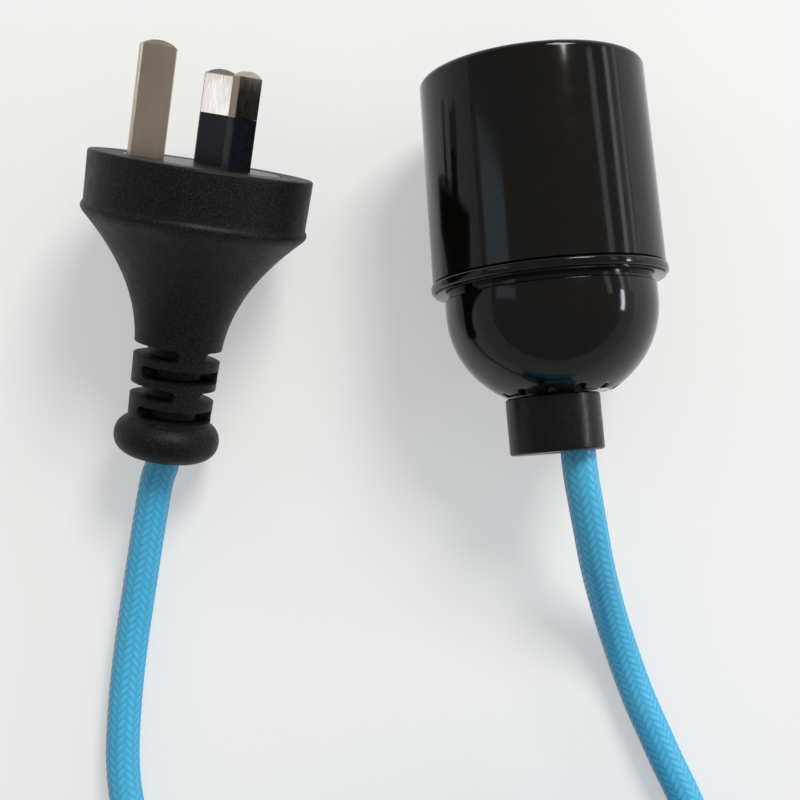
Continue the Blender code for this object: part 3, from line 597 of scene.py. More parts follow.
@dataclass(frozen=True)
class Steatite(Finish):
    """Unglazed white steatite: pressed and fired, chalky, with small dark specks."""

    speck_colour: str = "#b9b2a4"
    speck_size: float = 0.0004
    speck_span: Span = (0.62, 0.75)
    depth: float = 0.000015

    def build(self) -> bpy.types.Material:
        """Makes the material.

        Returns:
            The material.
        """
        made, tree, shader = self.start()
        speck = self.noise(tree, self.speck_size, 2.0)
        tone = self.between(tree, speck, self.speck_span)
        tree.links.new(self.mixed(tree, tone, self.colour, self.speck_colour),
                       shader.inputs["Base Color"])
        self.relief(tree, shader, speck, self.depth)
        return made


@dataclass(frozen=True)
class CoreJacket(Finish):
    """A core's PVC insulation: smooth, and on the earth core striped along its length."""

    stripe: str = ""
    radius: float = 0.00105
    stripe_length: float = 10.0
    stripe_span: Span = (0.49, 0.51)
    grain: float = 0.0005
    depth: float = 0.000004

    def build(self) -> bpy.types.Material:
        """Makes the material.

        Returns:
            The material.
        """
        made, tree, shader = self.start()
        band = self.noise(tree, 2 * self.radius, 1.0, stretch=(1.0, self.stripe_length, 1.0))
        tone = self.between(tree, band, self.stripe_span)
        tree.links.new(self.mixed(tree, tone, self.colour, self.stripe or self.colour),
                       shader.inputs["Base Color"])
        self.relief(tree, shader, self.noise(tree, self.grain, 2.0), self.depth)
        return made


@dataclass(frozen=True)
class Webbing(Finish):
    """Black hook-and-loop strap: woven polyamide, matt, with a soft nap over its rows of loops."""

    second: str = "#26262a"
    row: float = 0.00045
    unevenness: float = 0.35
    loop_span: Span = (0.1, 0.6)
    depth: float = 0.00010
    nap: float = 0.25

    def build(self) -> bpy.types.Material:
        """Makes the material.

        Returns:
            The material.
        """
        made, tree, shader = self.start()
        where = add_node(tree, "ShaderNodeTexCoord")
        loops = add_node(tree, "ShaderNodeTexVoronoi", {
            "Vector": where.outputs["Object"], "Scale": 1 / self.row,
            "Randomness": self.unevenness})
        tone = self.between(tree, loops.outputs["Distance"], self.loop_span, (1.0, 0.0))
        tree.links.new(self.mixed(tree, tone, self.colour, self.second), shader.inputs["Base Color"])
        shader.inputs["Sheen Weight"].default_value = self.nap
        self.relief(tree, shader, tone, self.depth)
        return made


@dataclass(frozen=True)
class Braid:
    """The braid's rule: twelve yarns each way round, over two and under two, in upright columns.

    In braid coordinates u counts columns round the cord and v counts rows along it. The yarns of
    one hand lie on whole numbers of u + v, those of the other on whole numbers of u - v. A yarn's
    height comes from lying over the others, by over_share, and from being round, by round_share.
    """

    columns: int = 12
    row: float = 0.00150
    relief: float = 0.00005
    phase: float = 0.25
    over_share: float = 0.55
    round_share: float = 0.45

    def height(self, u: float, v: float) -> float:
        """Gives how high the braid stands at a place, from 0 between yarns to 1 on a crown.

        Args:
            u: The place round the cord, in columns.
            v: The place along it, in rows.

        Returns:
            The height.
        """
        swing = 0.5 + 0.5 * cos(pi * (u - self.phase))
        one = self.over_share * swing + self.round_share * abs(cos(pi * (u + v)))
        other = self.over_share * (1 - swing) + self.round_share * abs(cos(pi * (u - v)))
        return max(one, other)


@dataclass(frozen=True)
class BraidedYarn(Finish):
    """Braided sky-blue polyester: glossy yarns, painted lighter on their crowns as painted highlight and
    darker in between as painted shade.
    """

    # Painted light: deep is painted shade between the yarns, crown is a painted highlight on their
    # crowns.
    deep: str = "#3ca6d3"
    crown: str = "#50c3ef"
    painted_shading_span: Span = (0.62, 0.95)
    filaments: float = 5.0
    filament_height: float = 0.035
    depth: float = 0.00006
    fade_size: float = 0.004
    fade_span: Span = (0.35, 0.7)
    most_faded: float = 0.35
    shadow_span: Span = (0.6, 0.9)
    shadow_rise: float = 0.25
    nap: float = 0.04
    braid: Braid = Braid()

    def build(self) -> bpy.types.Material:
        """Makes the material on the cord's own braid coordinates.

        Returns:
            The material.
        """
        made, tree, shader = self.start()
        place = add_node(tree, "ShaderNodeUVMap", uv_map=BRAID_MAP)
        split = add_node(tree, "ShaderNodeSeparateXYZ", {"Vector": place.outputs["UV"]})
        u, v = split.outputs["X"], split.outputs["Y"]

        def math(operation: str, one: object, other: object = 0.0) -> bpy.types.NodeSocket:
            """Adds one sum and gives its result."""
            return add_node(tree, "ShaderNodeMath", {0: one, 1: other}, operation=operation).outputs[0]

        swing = math("COSINE", math("MULTIPLY", math("SUBTRACT", u, self.braid.phase), pi))
        swing = math("ADD", math("MULTIPLY", swing, 0.5), 0.5)
        yarns = []
        for lean, lift in (("ADD", swing), ("SUBTRACT", math("SUBTRACT", 1.0, swing))):
            across = math(lean, u, v)
            crown = math("ABSOLUTE", math("COSINE", math("MULTIPLY", across, pi)))
            fibre = math("COSINE", math("MULTIPLY", across, 2 * pi * self.filaments))
            body = math("ADD", math("MULTIPLY", lift, self.braid.over_share),
                        math("MULTIPLY", crown, self.braid.round_share))
            yarns.append(math("ADD", body, math("MULTIPLY", fibre, self.filament_height)))
        height = math("MAXIMUM", yarns[0], yarns[1])
        # Painted shade and highlight: the colour runs from the darker blue between the yarns to the
        # lighter blue on their crowns, by height.
        tone = self.between(tree, height, self.painted_shading_span)
        colour = self.mixed(tree, tone, self.deep, self.crown)
        patch = self.noise(tree, self.fade_size, 3.0)
        fade = self.between(tree, patch, self.fade_span, (0.0, self.most_faded))
        tree.links.new(self.mixed(tree, fade, colour, self.colour), shader.inputs["Base Color"])
        rough = self.between(tree, height, self.shadow_span,
                             (self.roughness + self.shadow_rise, self.roughness))
        tree.links.new(rough, shader.inputs["Roughness"])
        shader.inputs["Sheen Weight"].default_value = self.nap
        self.relief(tree, shader, height, self.depth)
        return made


FINISHES = {
    Slot.PHENOLIC: Phenolic("moulded_phenolic", "#0c0a08", 0.07, specular=0.28),
    Slot.NYLON: Nylon("satin_nylon", "#0c0b0a", 0.30, ior=1.53, specular=0.20),
    Slot.PVC: GrainedPvc("grained_pvc", "#0c0c0b", 0.46, ior=1.53, specular=0.16),
    Slot.PIN_INSULATION: Nylon("pin_sleeve_nylon", "#10131c", 0.20, ior=1.53, specular=0.50,
                               second="#171b26", depth=0.000001),
    Slot.NICKEL: Metal("nickel_plate", "#cbc3b8", 0.17, metallic=1.0, second="#bcb1a6",
                       draw=(pi / 2 + PIN_RISE, 0.0, PLUG_YAW), worn="#94744c"),
    Slot.BRASS: Metal("stamped_brass", "#d3b26a", 0.26, metallic=1.0, second="#b98f45"),
    Slot.ZINC: Metal("zinc_plated_steel", "#c3c5c8", 0.28, metallic=1.0, second="#a3a5a6"),
    Slot.STEATITE: Steatite("white_steatite", "#e6e2d8", 0.55, ior=1.6),
    Slot.BRAID: BraidedYarn("braided_polyester", "#3eacd8", 0.30, ior=1.53, specular=0.55),
    Slot.BROWN_CORE: CoreJacket("brown_core_pvc", "#5a3219", 0.38, ior=1.53),
    Slot.BLUE_CORE: CoreJacket("blue_core_pvc", "#2d62b8", 0.38, ior=1.53),
    Slot.GREEN_CORE: CoreJacket("earth_core_pvc", "#3f9a3a", 0.38, ior=1.53, stripe="#d9c832"),
    Slot.WEBBING: Webbing("strap_webbing", "#0d0d0f", 0.75, ior=1.5),
}

CARRIED_OVER = {
    "contact_carrier": Slot.STEATITE,
    "centre_contact": Slot.BRASS,
    "side_contact": Slot.BRASS,
    "active_terminal": Slot.BRASS,
    "neutral_terminal": Slot.BRASS,
    "active_terminal_screw": Slot.ZINC,
    "neutral_terminal_screw": Slot.ZINC,
    "holder_active_core": Slot.BROWN_CORE,
    "holder_neutral_core": Slot.BLUE_CORE,
    "holder_earth_core": Slot.GREEN_CORE,
    "plug_active_core": Slot.BROWN_CORE,
    "plug_neutral_core": Slot.BLUE_CORE,
    "plug_earth_core": Slot.GREEN_CORE,
    "earth_core_cap": Slot.NYLON,
}


class SweepTree:
    """A Geometry Nodes tree with named inputs that is run once and leaves a plain mesh."""

    def __init__(self, name: str, inputs: dict[str, str]) -> None:
        """Starts the tree with its inputs.

        Args:
            name: The tree's name.
            inputs: Each input's name and socket type.
        """
        self.tree = bpy.data.node_groups.new(name, "GeometryNodeTree")
        face = self.tree.interface
        face.new_socket("Geometry", in_out="INPUT", socket_type="NodeSocketGeometry")
        face.new_socket("Geometry", in_out="OUTPUT", socket_type="NodeSocketGeometry")
        for label, kind in inputs.items():
            face.new_socket(label, in_out="INPUT", socket_type=kind)
        self.given = add_node(self.tree, "NodeGroupInput").outputs

    def add(self, kind: str, inputs: dict | None = None, **settings: object) -> bpy.types.Node:
        """Adds a node to the tree."""
        return add_node(self.tree, kind, inputs, **settings)

    def end(self, geometry: bpy.types.NodeSocket) -> None:
        """Ends the tree in Realize Instances, smooth shading and Set Material.

        Args:
            geometry: What the tree has made.
        """
        real = self.add("GeometryNodeRealizeInstances", {"Geometry": geometry})
        smooth = self.add("GeometryNodeSetShadeSmooth", {"Geometry": real.outputs["Geometry"]})
        dressed = self.add("GeometryNodeSetMaterial", {"Geometry": smooth.outputs["Geometry"],
                                                       "Material": self.given["Material"]})
        self.add("NodeGroupOutput", {"Geometry": dressed.outputs["Geometry"]})

    def run(self, name: str, host: bpy.types.Object, sizes: dict[str, object],
            place: Matrix | None = None) -> bpy.types.Object:
        """Runs the tree on an object and leaves the plain mesh that it gives.

        Args:
            name: The new piece's name.
            host: The object that carries the tree, which is removed.
            sizes: The inputs' values.
            place: From the tree's frame to the model's.

        Returns:
            The new piece, with its object at the origin.
        """
        step = host.modifiers.new(self.tree.name, "NODES")
        step.node_group = self.tree
        for item in self.tree.interface.items_tree:
            if item.item_type == "SOCKET" and item.in_out == "INPUT" and item.name in sizes:
                step[item.identifier] = sizes[item.name]
        graph = bpy.context.evaluated_depsgraph_get()
        data = bpy.data.meshes.new_from_object(host.evaluated_get(graph))
        host.modifiers.clear()
        bpy.data.objects.remove(host, do_unlink=True)
        data.name = name
        if place is not None:
            data.transform(place)
        return add_object(name, data)


@dataclass
class Lampholder:
    """The screw lampholder: shell, lamp thread, domed cap, cord grip and the rivets in its bore."""

    mouth_r: float = 0.01995
    sleeve_base_r: float = 0.0206
    sleeve_length: float = 0.0364
    rim_round: float = 0.0012
    shell_edge: float = 0.0004
    guard_bore_r: float = 0.0147
    guard_depth: float = 0.0076
    thread_lead_in: float = 0.0008
    thread_root_r: float = 0.0134
    thread_depth: float = 0.0011
    thread_pitch: float = 0.003629
    thread_turns: float = 4.5
    crest_over: float = 1.15
    crest_share: float = 0.47
    thread_fade: float = 0.06
    thread_end_share: float = 0.15
    cap_seat_r: float = 0.0176
    gap: float = 0.0003
    carrier_thickness: float = 0.0072
    flange_r: float = 0.02095
    flange_thickness: float = 0.0018
    flange_round: float = 0.0005
    ring_thickness: float = 0.0014
    lip_floor_r: float = 0.0201
    lip_r: float = 0.02035
    lip_gap: float = 0.00022
    seam: float = 0.00012
    groove_r: float = 0.0180
    groove_width: float = 0.0010
    dome_r: float = 0.0187
    dome_straight: float = 0.0028
    dome_height: float = 0.0175
    dome_end_r: float = 0.0094
    dome_edge: float = 0.00025
    dome_columns: int = 240
    dome_rows: int = 30
    cap_wall: float = 0.0023
    neck_wall: float = 0.0024
    notch_count: int = 12
    notch_width: float = 0.0012
    notch_depth: float = 0.0007
    notch_reach: float = 0.0009
    notch_soft: float = 0.00022
    notch_row: float = 0.00012
    notch_rows: int = 200
    collar_r: float = 0.00832
    collar_length: float = 0.00995
    collar_offset: float = -0.0013
    collar_round: float = 0.0005
    stem_r: float = 0.0049
    stem_depth: float = 0.0080
    stem_bore_r: float = 0.0029
    collar_floor: float = 0.0025
    cord_offset: float = 0.0023
    cord_r: float = 0.0031
    grip_screw_r: float = 0.00185
    grip_screw_length: float = 0.0066
    grip_screw_angle: float = radians(200)
    screw_slot_width: float = 0.0006
    screw_slot_depth: float = 0.0006
    screw_tip_share: float = 0.7
    screw_tip_rise: float = 0.4
    screw_edge: float = 0.0002
    screw_turns: int = 7
    screw_ridge: float = 0.00016
    screw_plain: float = 0.0010
    rivet_x: float = 0.0060
    rivet_r: float = 0.0012
    rivet_head_r: float = 0.0020
    rivet_head_height: float = 0.0006
    rivet_grip: float = 0.0014
    strip_thickness: float = 0.0005

    def __post_init__(self) -> None:
        """Works out the stations along the axis and the lampholder's place in the model."""
        self.thread_start = self.guard_depth + self.thread_lead_in
        self.thread_end = self.thread_start + self.thread_turns * self.thread_pitch
        self.carrier_start = self.thread_end + self.gap
        self.carrier_end = self.carrier_start + self.carrier_thickness
        self.neck_start = self.carrier_end + self.gap
        self.flange_start = self.sleeve_length + self.gap
        self.flange_end = self.flange_start + self.flange_thickness
        self.dome_start = self.flange_end + self.groove_width
        self.dome_bend = self.dome_start + self.dome_straight
        share = self.dome_end_r / self.dome_r
        self.dome_end = self.dome_bend + self.dome_height * sqrt(1 - share ** 2)
        self.collar_start = self.dome_end + self.gap
        self.length = self.collar_start + self.collar_length
        self.cord_start = self.collar_start + self.collar_floor + self.gap
        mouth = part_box("sleeve")[1].y
        self.place = (Matrix.Translation((0, mouth, self.flange_r))
                      @ Matrix.Rotation(pi / 2, 4, "X"))

    def sleeve(self) -> bpy.types.Object:
        """Makes the shell: flat mouth, rounded rim, plain guard bore, thread wall and cap seat.

        Returns:
            The shell.
        """
        edge = self.shell_edge
        outline = [(self.guard_bore_r + edge, 0.0)]
        outline += arc(self.mouth_r - self.rim_round, self.rim_round, self.rim_round, -pi / 2, 0, 10)
        outline += straight(outline[-1], (self.sleeve_base_r, self.sleeve_length - edge / 2), 0.004)
        outline += [(self.sleeve_base_r - edge / 2, self.sleeve_length),
                    (self.cap_seat_r, self.sleeve_length), (self.cap_seat_r, self.thread_end),
                    (self.thread_root_r, self.thread_end), (self.thread_root_r, self.thread_start)]
        outline += [(self.guard_bore_r - edge, self.guard_depth)]
        outline += [(self.guard_bore_r, self.guard_depth - edge), (self.guard_bore_r, edge)]
        return turned("sleeve_shell", outline, self.place)

    def thread(self, material: bpy.types.Material) -> bpy.types.Object:
        """Makes the moulded lamp thread, a rounded ridge swept along its helix.

        Args:
            material: What it wears.

        Returns:
            The thread.
        """
        recipe = SweepTree("helical_ridge", {
            "Radius": "NodeSocketFloat", "Height": "NodeSocketFloat", "Turns": "NodeSocketFloat",
            "Crest Width": "NodeSocketFloat", "Crest Height": "NodeSocketFloat",
            "Material": "NodeSocketMaterial"})
        given = recipe.given
        helix = recipe.add("GeometryNodeCurveSpiral", {
            "Resolution": 96, "Rotations": given["Turns"], "Start Radius": given["Radius"],
            "End Radius": given["Radius"], "Height": given["Height"]})
        upright = recipe.add("GeometryNodeSetCurveNormal", {"Curve": helix.outputs["Curve"]},
                             mode="Z_UP")
        along = recipe.add("GeometryNodeSplineParameter").outputs["Factor"]
        fade = recipe.add("ShaderNodeMath", {0: along, 1: 1.0}, operation="PINGPONG")
        fade = recipe.add("ShaderNodeMath", {0: fade.outputs[0], 1: 0.5}, operation="PINGPONG")
        fade = recipe.add("ShaderNodeMapRange", {"Value": fade.outputs[0], "From Max": self.thread_fade,
                                                 "To Min": self.thread_end_share},
                          interpolation_type="SMOOTHSTEP")
        tapered = recipe.add("GeometryNodeSetCurveRadius", {"Curve": upright.outputs["Curve"],
                                                            "Radius": fade.outputs["Result"]})
        ring = recipe.add("GeometryNodeCurvePrimitiveCircle", {"Resolution": 20, "Radius": 1.0})
        size = recipe.add("ShaderNodeCombineXYZ", {"X": given["Crest Height"],
                                                   "Y": given["Crest Width"], "Z": 1.0})
        crest = recipe.add("GeometryNodeTransform", {"Geometry": ring.outputs["Curve"],
                                                     "Scale": size.outputs["Vector"]})
        swept = recipe.add("GeometryNodeCurveToMesh", {"Curve": tapered.outputs["Curve"],
                                                       "Profile Curve": crest.outputs["Geometry"],
                                                       "Fill Caps": True})
        recipe.end(swept.outputs["Mesh"])
        crest_height = self.crest_over * self.thread_depth
        host = add_object("thread_host", bpy.data.meshes.new("thread_host"))
        return recipe.run("lamp_thread", host, {
            "Radius": self.thread_root_r - self.thread_depth + crest_height,
            "Height": self.thread_end - self.thread_start - self.thread_pitch,
            "Turns": self.thread_turns - 1, "Crest Width": self.crest_share * self.thread_pitch,
            "Crest Height": crest_height, "Material": material},
            self.place @ Matrix.Translation((0, 0, self.thread_start + self.thread_pitch / 2)))

    def dome_curve(self, radius: float, height: float, end_r: float, steps: int) -> Outline:
        """Gives a quarter of an ellipse from the dome's bend to where it is cut off.

        Args:
            radius: The ellipse's half width.
            height: Its half height.
            end_r: The radius that it is cut off at.
            steps: How many chords it has.

        Returns:
            The points from the bend to the end.
        """
        last = acos(end_r / radius)
        turns = [last * i / steps for i in range(steps + 1)]
        return [(radius * cos(a), self.dome_bend + height * sin(a)) for a in turns]

    def notched(self, radius: float, z: float, angle: float) -> tuple[float, float]:
        """Lowers the dome's end edge where one of its small notches is.

        Args:
            radius: The point's distance from the axis.
            z: Its station.
            angle: Where it is round it.

        Returns:
            The point's new radius and station.
        """
        floor = self.dome_end - self.notch_depth
        inner = self.dome_end_r - self.notch_reach
        if z <= floor or radius < inner:
            return radius, z
        pitch = 2 * pi / self.notch_count
        off = abs((angle % pitch) - pitch / 2) * self.dome_end_r
        soft = self.notch_soft
        share = smooth_step((self.notch_width / 2 + soft - off) / (2 * soft))
        share *= smooth_step((radius - inner) / soft)
        return radius, z - share * (z - floor)

    def dome_cap(self) -> bpy.types.Object:
        """Makes the cap: neck, flange ring, shadow groove, dome and its ring of notches.

        Returns:
            The cap.
        """
        neck_r = self.cap_seat_r - self.gap
        neck_bore_r = neck_r - self.neck_wall
        hole_r = self.stem_r + self.gap
        edge, soft = self.flange_round, self.dome_edge
        front = self.sleeve_length + self.seam
        back = self.flange_start + self.ring_thickness
        lip_round = (self.flange_end - back - self.lip_gap) / 2
        outline = [(neck_bore_r, self.neck_start), (neck_r, self.neck_start), (neck_r, front)]
        outline += arc(self.flange_r - edge, front + edge, edge, -pi / 2, 0, 6)
        outline += arc(self.flange_r - edge, back - edge, edge, 0, pi / 2, 6)
        outline += [(self.lip_floor_r, back), (self.lip_floor_r, back + self.lip_gap)]
        outline += arc(self.lip_r - lip_round, self.flange_end - lip_round, lip_round, -pi / 2, pi / 2, 6)
        outline += [(self.groove_r, self.flange_end), (self.groove_r, self.dome_start)]
        outline += arc(self.dome_r - soft, self.dome_start + soft, soft, -pi / 2, 0, 4)
        outline += self.dome_curve(self.dome_r, self.dome_height, self.dome_end_r + self.notch_reach,
                                   self.dome_rows)
        fine = self.dome_curve(self.dome_r, self.dome_height, self.dome_end_r, self.notch_rows)
        outline += [point for point in fine if point[0] < self.dome_end_r + self.notch_reach][::2]
        outline += straight((self.dome_end_r, self.dome_end),
                            (self.dome_end_r - 1.5 * self.notch_reach, self.dome_end),
                            self.notch_row)
        outline += [(hole_r, self.dome_end)]
        lining = self.dome_curve(self.dome_r - self.cap_wall, self.dome_height - self.cap_wall,
                                 self.dome_end_r - self.cap_wall / 2, 12)
        outline += [(hole_r, lining[-1][1])]
        outline += lining[::-1]
        outline += [(lining[0][0], self.dome_start), (neck_bore_r, self.flange_start)]
        return turned("dome_shell", outline, self.place, self.dome_columns, self.notched)

    def bore_ring(self, z: float, grow: float, steps: int) -> Ring:
        """Gives the collar's slotted bore at a station: two half circles and what joins them.

        Args:
            z: The station.
            grow: How much wider than the bore the ring is.
            steps: How many points go round.

        Returns:
            The ring, starting in the direction of X.
        """
        radius = self.cord_r + self.gap + grow
        ring = []
        for i in range(steps):
            angle = 2 * pi * i / steps
            shift = self.cord_offset * smooth_step(0.5 + 2 * cos(angle))
            ring.append((shift + radius * cos(angle), radius * sin(angle), z))
        return ring

    def cord_grip(self) -> bpy.types.Object:
        """Makes the collar with its slotted bore, its stem and the hole for its screw.

        Returns:
            The collar.
        """
        steps = 96

        def circle(radius: float, z: float, centre: float = 0.0) -> Ring:
            """Gives a ring of points about the axis or beside it."""
            turns = [2 * pi * i / steps for i in range(steps)]
            return [(centre + radius * cos(a), radius * sin(a), z) for a in turns]

        edge = self.collar_round
        stem_start = self.dome_end - self.stem_depth
        floor = self.collar_start + self.collar_floor
        sections = [circle(self.stem_r, stem_start + edge), circle(self.stem_r, self.collar_start),
                    circle(self.collar_r - edge / 2, self.collar_start, self.collar_offset),
                    circle(self.collar_r, self.collar_start + edge / 2, self.collar_offset)]
        rim = arc(self.collar_r - edge, self.length - edge, edge, 0, pi / 2, 6)
        sections += [circle(radius, z, self.collar_offset) for radius, z in rim]
        sections += [self.bore_ring(self.length, edge, steps),
                     self.bore_ring(self.length - edge / 3, edge / 3, steps),
                     self.bore_ring(self.length - edge, 0.0, steps), self.bore_ring(floor, 0.0, steps),
                     circle(self.stem_bore_r, floor), circle(self.stem_bore_r, stem_start),
                     circle(self.stem_r - edge, stem_start)]
        grip = lofted("grip_collar", sections, self.place, closed=True)
        hole = turned("grip_hole", [(0.0, 0.0), (self.grip_screw_r + self.gap, 0.0),
                                    (self.grip_screw_r + self.gap, 2 * self.collar_r),
                                    (0.0, 2 * self.collar_r)], self.screw_place(), 48)
        return cut(grip, hole)

    def screw_place(self) -> Matrix:
        """Gives the way from a screw drawn along Z, head outwards, to its place in the collar.

        Returns:
            The screw's place.
        """
        station = (self.cord_start + self.length) / 2
        outward = Vector((cos(self.grip_screw_angle), sin(self.grip_screw_angle), 0))
        turn = Vector((0, 0, 1)).rotation_difference(outward).to_matrix().to_4x4()
        return self.place @ Matrix.Translation((self.cord_offset, 0, station)) @ turn

    def grip_screw(self) -> bpy.types.Object:
        """Makes the nylon screw that holds the cord, with its driver slot.

        Returns:
            The screw.
        """
        tip = self.cord_r + self.gap
        head = tip + self.grip_screw_length
        radius = self.grip_screw_r
        edge = self.screw_edge
        start = tip + radius * self.screw_tip_rise
        end = head - self.screw_plain
        outline = [(0.0, tip), (radius * self.screw_tip_share, tip), (radius, start)]
        steps = self.screw_turns * 4
        for i in range(steps):
            z = start + (end - start) * i / steps + ROW_APART
            outline.append((radius - self.screw_ridge * (i % 4 == 2), z))
        outline += [(radius, end), (radius, head - edge), (radius - edge, head), (0.0, head)]
        screw = turned("grip_screw", outline, self.screw_place(), 48)
        half = self.screw_slot_width / 2
        reach = 2 * radius
        corners = [(-reach, -half), (reach, -half), (reach, half), (-reach, half)]
        slot = lofted("slot", [[(x, y, z) for x, y in corners] for z in
                               (head - self.screw_slot_depth, head + reach)], self.screw_place())
        return cut(screw, slot)

    def rivet(self, name: str, x: float) -> bpy.types.Object:
        """Makes one contact rivet with its domed head in the bore.

        Args:
            name: The piece's name.
            x: How far beside the axis it stands.

        Returns:
            The rivet.
        """
        head_end = self.carrier_start - 2 * self.gap - self.strip_thickness
        high = self.rivet_head_height
        steps = 8
        turns = [pi / 2 * i / steps for i in range(1, steps + 1)]
        outline = [(0.0, head_end - high)]
        outline += [(self.rivet_head_r * sin(a), head_end - high * cos(a)) for a in turns]
        outline += [(self.rivet_r, head_end + ROW_APART),
                    (self.rivet_r, self.carrier_end + self.gap + self.rivet_grip),
                    (0.0, self.carrier_end + self.gap + self.rivet_grip)]
        return turned(name, outline, self.place @ Matrix.Translation((x, 0, 0)), 48)

    def build(self, wear: dict[Slot, bpy.types.Material]) -> None:
        """Makes and dresses every piece of the lampholder.

        Args:
            wear: The finished materials.
        """
        phenolic, nylon = wear[Slot.PHENOLIC], wear[Slot.NYLON]
        settle(self.sleeve(), Slot.PHENOLIC, phenolic, "sleeve")
        settle(self.thread(phenolic), Slot.PHENOLIC, phenolic)
        settle(self.dome_cap(), Slot.PHENOLIC, phenolic, "dome_cap")
        settle(self.cord_grip(), Slot.NYLON, nylon, "cord_grip")
        settle(self.grip_screw(), Slot.NYLON, nylon, "cord_grip_screw")
        for name, x in (("centre", -self.rivet_x), ("side", self.rivet_x)):
            settle(self.rivet(name + "_rivet", x), Slot.BRASS, wear[Slot.BRASS],
                   name + "_contact_rivet")


@dataclass
class Plug:
    """The moulded plug: body with its slotted strain relief, pin bridge, pins and their sleeves."""

    x: float = -0.0596
    y: float = 0.0223
    yaw: float = PLUG_YAW
    gap: float = 0.0003
    slim_gap: float = 0.0001
    cord_r: float = 0.0031
    core_r: float = 0.00105
    band_r: float = 0.01995
    band_waist_r: float = 0.01975
    band_length: float = 0.0089
    face_round: float = 0.0005
    face_step: float = 0.00015
    lip_r: float = 0.02015
    lip_width: float = 0.0020
    flare_start_r: float = 0.0197
    flare_length: float = 0.0240
    flare_power: float = 2.13
    flare_rows: int = 40
    relief_row: float = 0.0001
    body_columns: int = 192
    body_sharp: float = radians(50)
    neck_top_r: float = 0.00785
    neck_end_r: float = 0.0075
    hub_r: float = 0.0049
    slot_height: float = 0.00205
    slot_step: float = 0.0037
    slot_levels: int = 4
    slot_first: float = 0.0338
    web_angle: float = radians(38)
    slot_roll: float = radians(-32)
    slot_soft: float = 0.00010
    bulb_r: float = 0.0096
    bulb_core_r: float = 0.0050
    bulb_centre: float = 0.0500
    bulb_half: float = 0.0038
    bulb_power: float = 2.2
    bulb_rows: int = 40
    hole_edge: float = 0.0003
    cord_depth: float = 0.0230
    wire_space_r: float = 0.0128
    wire_space_end: float = 0.0095
    pin_width: float = 0.00635
    pin_thickness: float = 0.0016
    pin_chamfer: float = 0.00025
    tip_rise: float = 0.00105
    tip_thickness: float = 0.0011
    tip_chamfer: float = 0.4
    tip_shares: tuple[float, ...] = (0.02, 0.08, 0.18, 0.32, 0.5, 0.72, 1.0)
    side_wear: float = 0.5
    tip_wear: float = 0.25
    # The earth pin's broad faces are tinted a quarter of the way to the brownish worn colour.
    earth_flat_tint: float = 0.25
    pin_tail: float = 0.0078
    tail_width: float = 0.0036
    live_length: float = 0.01706
    live_r: float = 0.00792
    earth_length: float = 0.01994
    earth_r: float = 0.01031
    pin_roll: float = radians(-28)
    sleeve_reach: float = 0.0090
    sleeve_edge: float = 0.00006
    seam: float = 0.00002
    neck_width: float = 0.00515
    neck_thickness: float = 0.0007
    bridge_r: float = 0.0140
    bridge_thickness: float = 0.0040
    bridge_edge: float = 0.0002

    def __post_init__(self) -> None:
        """Works out the stations along the axis and how the plug rests on its lip and its bead."""
        lip_round = self.lip_width / 2
        self.lip_centre = self.band_length + lip_round
        self.flare_start = self.band_length + self.lip_width
        self.end = self.bulb_centre + self.bulb_half
        self.cord_start = self.end - self.cord_depth
        drop = self.lip_r - lip_round - (self.bulb_r - self.bulb_half)
        run = self.bulb_centre - self.lip_centre
        self.tilt = acos((self.bulb_half - lip_round) / hypot(drop, run)) - atan2(run, drop)
        self.z = (self.lip_r - lip_round) * cos(self.tilt) + self.lip_centre * sin(self.tilt) + lip_round
        self.turn = Euler((pi / 2 + self.tilt, 0, self.yaw)).to_matrix()
        self.place = Matrix.Translation((self.x, self.y, self.z)) @ self.turn.to_4x4()

    def axis_point(self, station: float) -> Vector:
        """Gives the point of the plug's axis at a station."""
        return Vector((self.x, self.y, self.z)) + self.turn @ Vector((0, 0, station))

    def bulb(self) -> Outline:
        """Gives the rounded bead that ends the strain relief.

        Returns:
            Its points as (radius, z).
        """
        points = []
        for i in range(1, self.bulb_rows):
            share = -cos(pi * i / self.bulb_rows)
            reach = (1 - abs(share) ** self.bulb_power) ** (1 / self.bulb_power)
            radius = self.bulb_core_r + (self.bulb_r - self.bulb_core_r) * reach
            if share > 0 or radius > self.neck_end_r:
                points.append((radius, self.bulb_centre + self.bulb_half * share))
        return points + [(self.bulb_core_r, self.end)]

    def slotted(self, radius: float, z: float, angle: float) -> tuple[float, float]:
        """Sinks a point of the neck to the hub where it lies in one of the strain relief's slots.

        Args:
            radius: The point's distance from the axis.
            z: Its station.
            angle: Where it is round it.

        Returns:
            The point's new radius and station.
        """
        level = round((z - self.slot_first) / self.slot_step)
        if radius <= self.hub_r or not 0 <= level < self.slot_levels:
            return radius, z
        middle = self.slot_first + level * self.slot_step
        half_height = self.slot_height / 2
        if abs(z - middle) > half_height + self.slot_soft:
            return radius, z
        quarter = self.slot_roll + level * pi / 2
        off = abs((angle - quarter + pi / 2) % pi - pi / 2)
        reach = (pi - self.web_angle) / 2 * self.neck_end_r
        past = max(0.0, off * self.neck_end_r - (reach - half_height))
        outside = hypot(past, z - middle) - half_height
        share = smooth_step((outside + self.slot_soft) / (2 * self.slot_soft))
        return self.hub_r + (radius - self.hub_r) * share, z

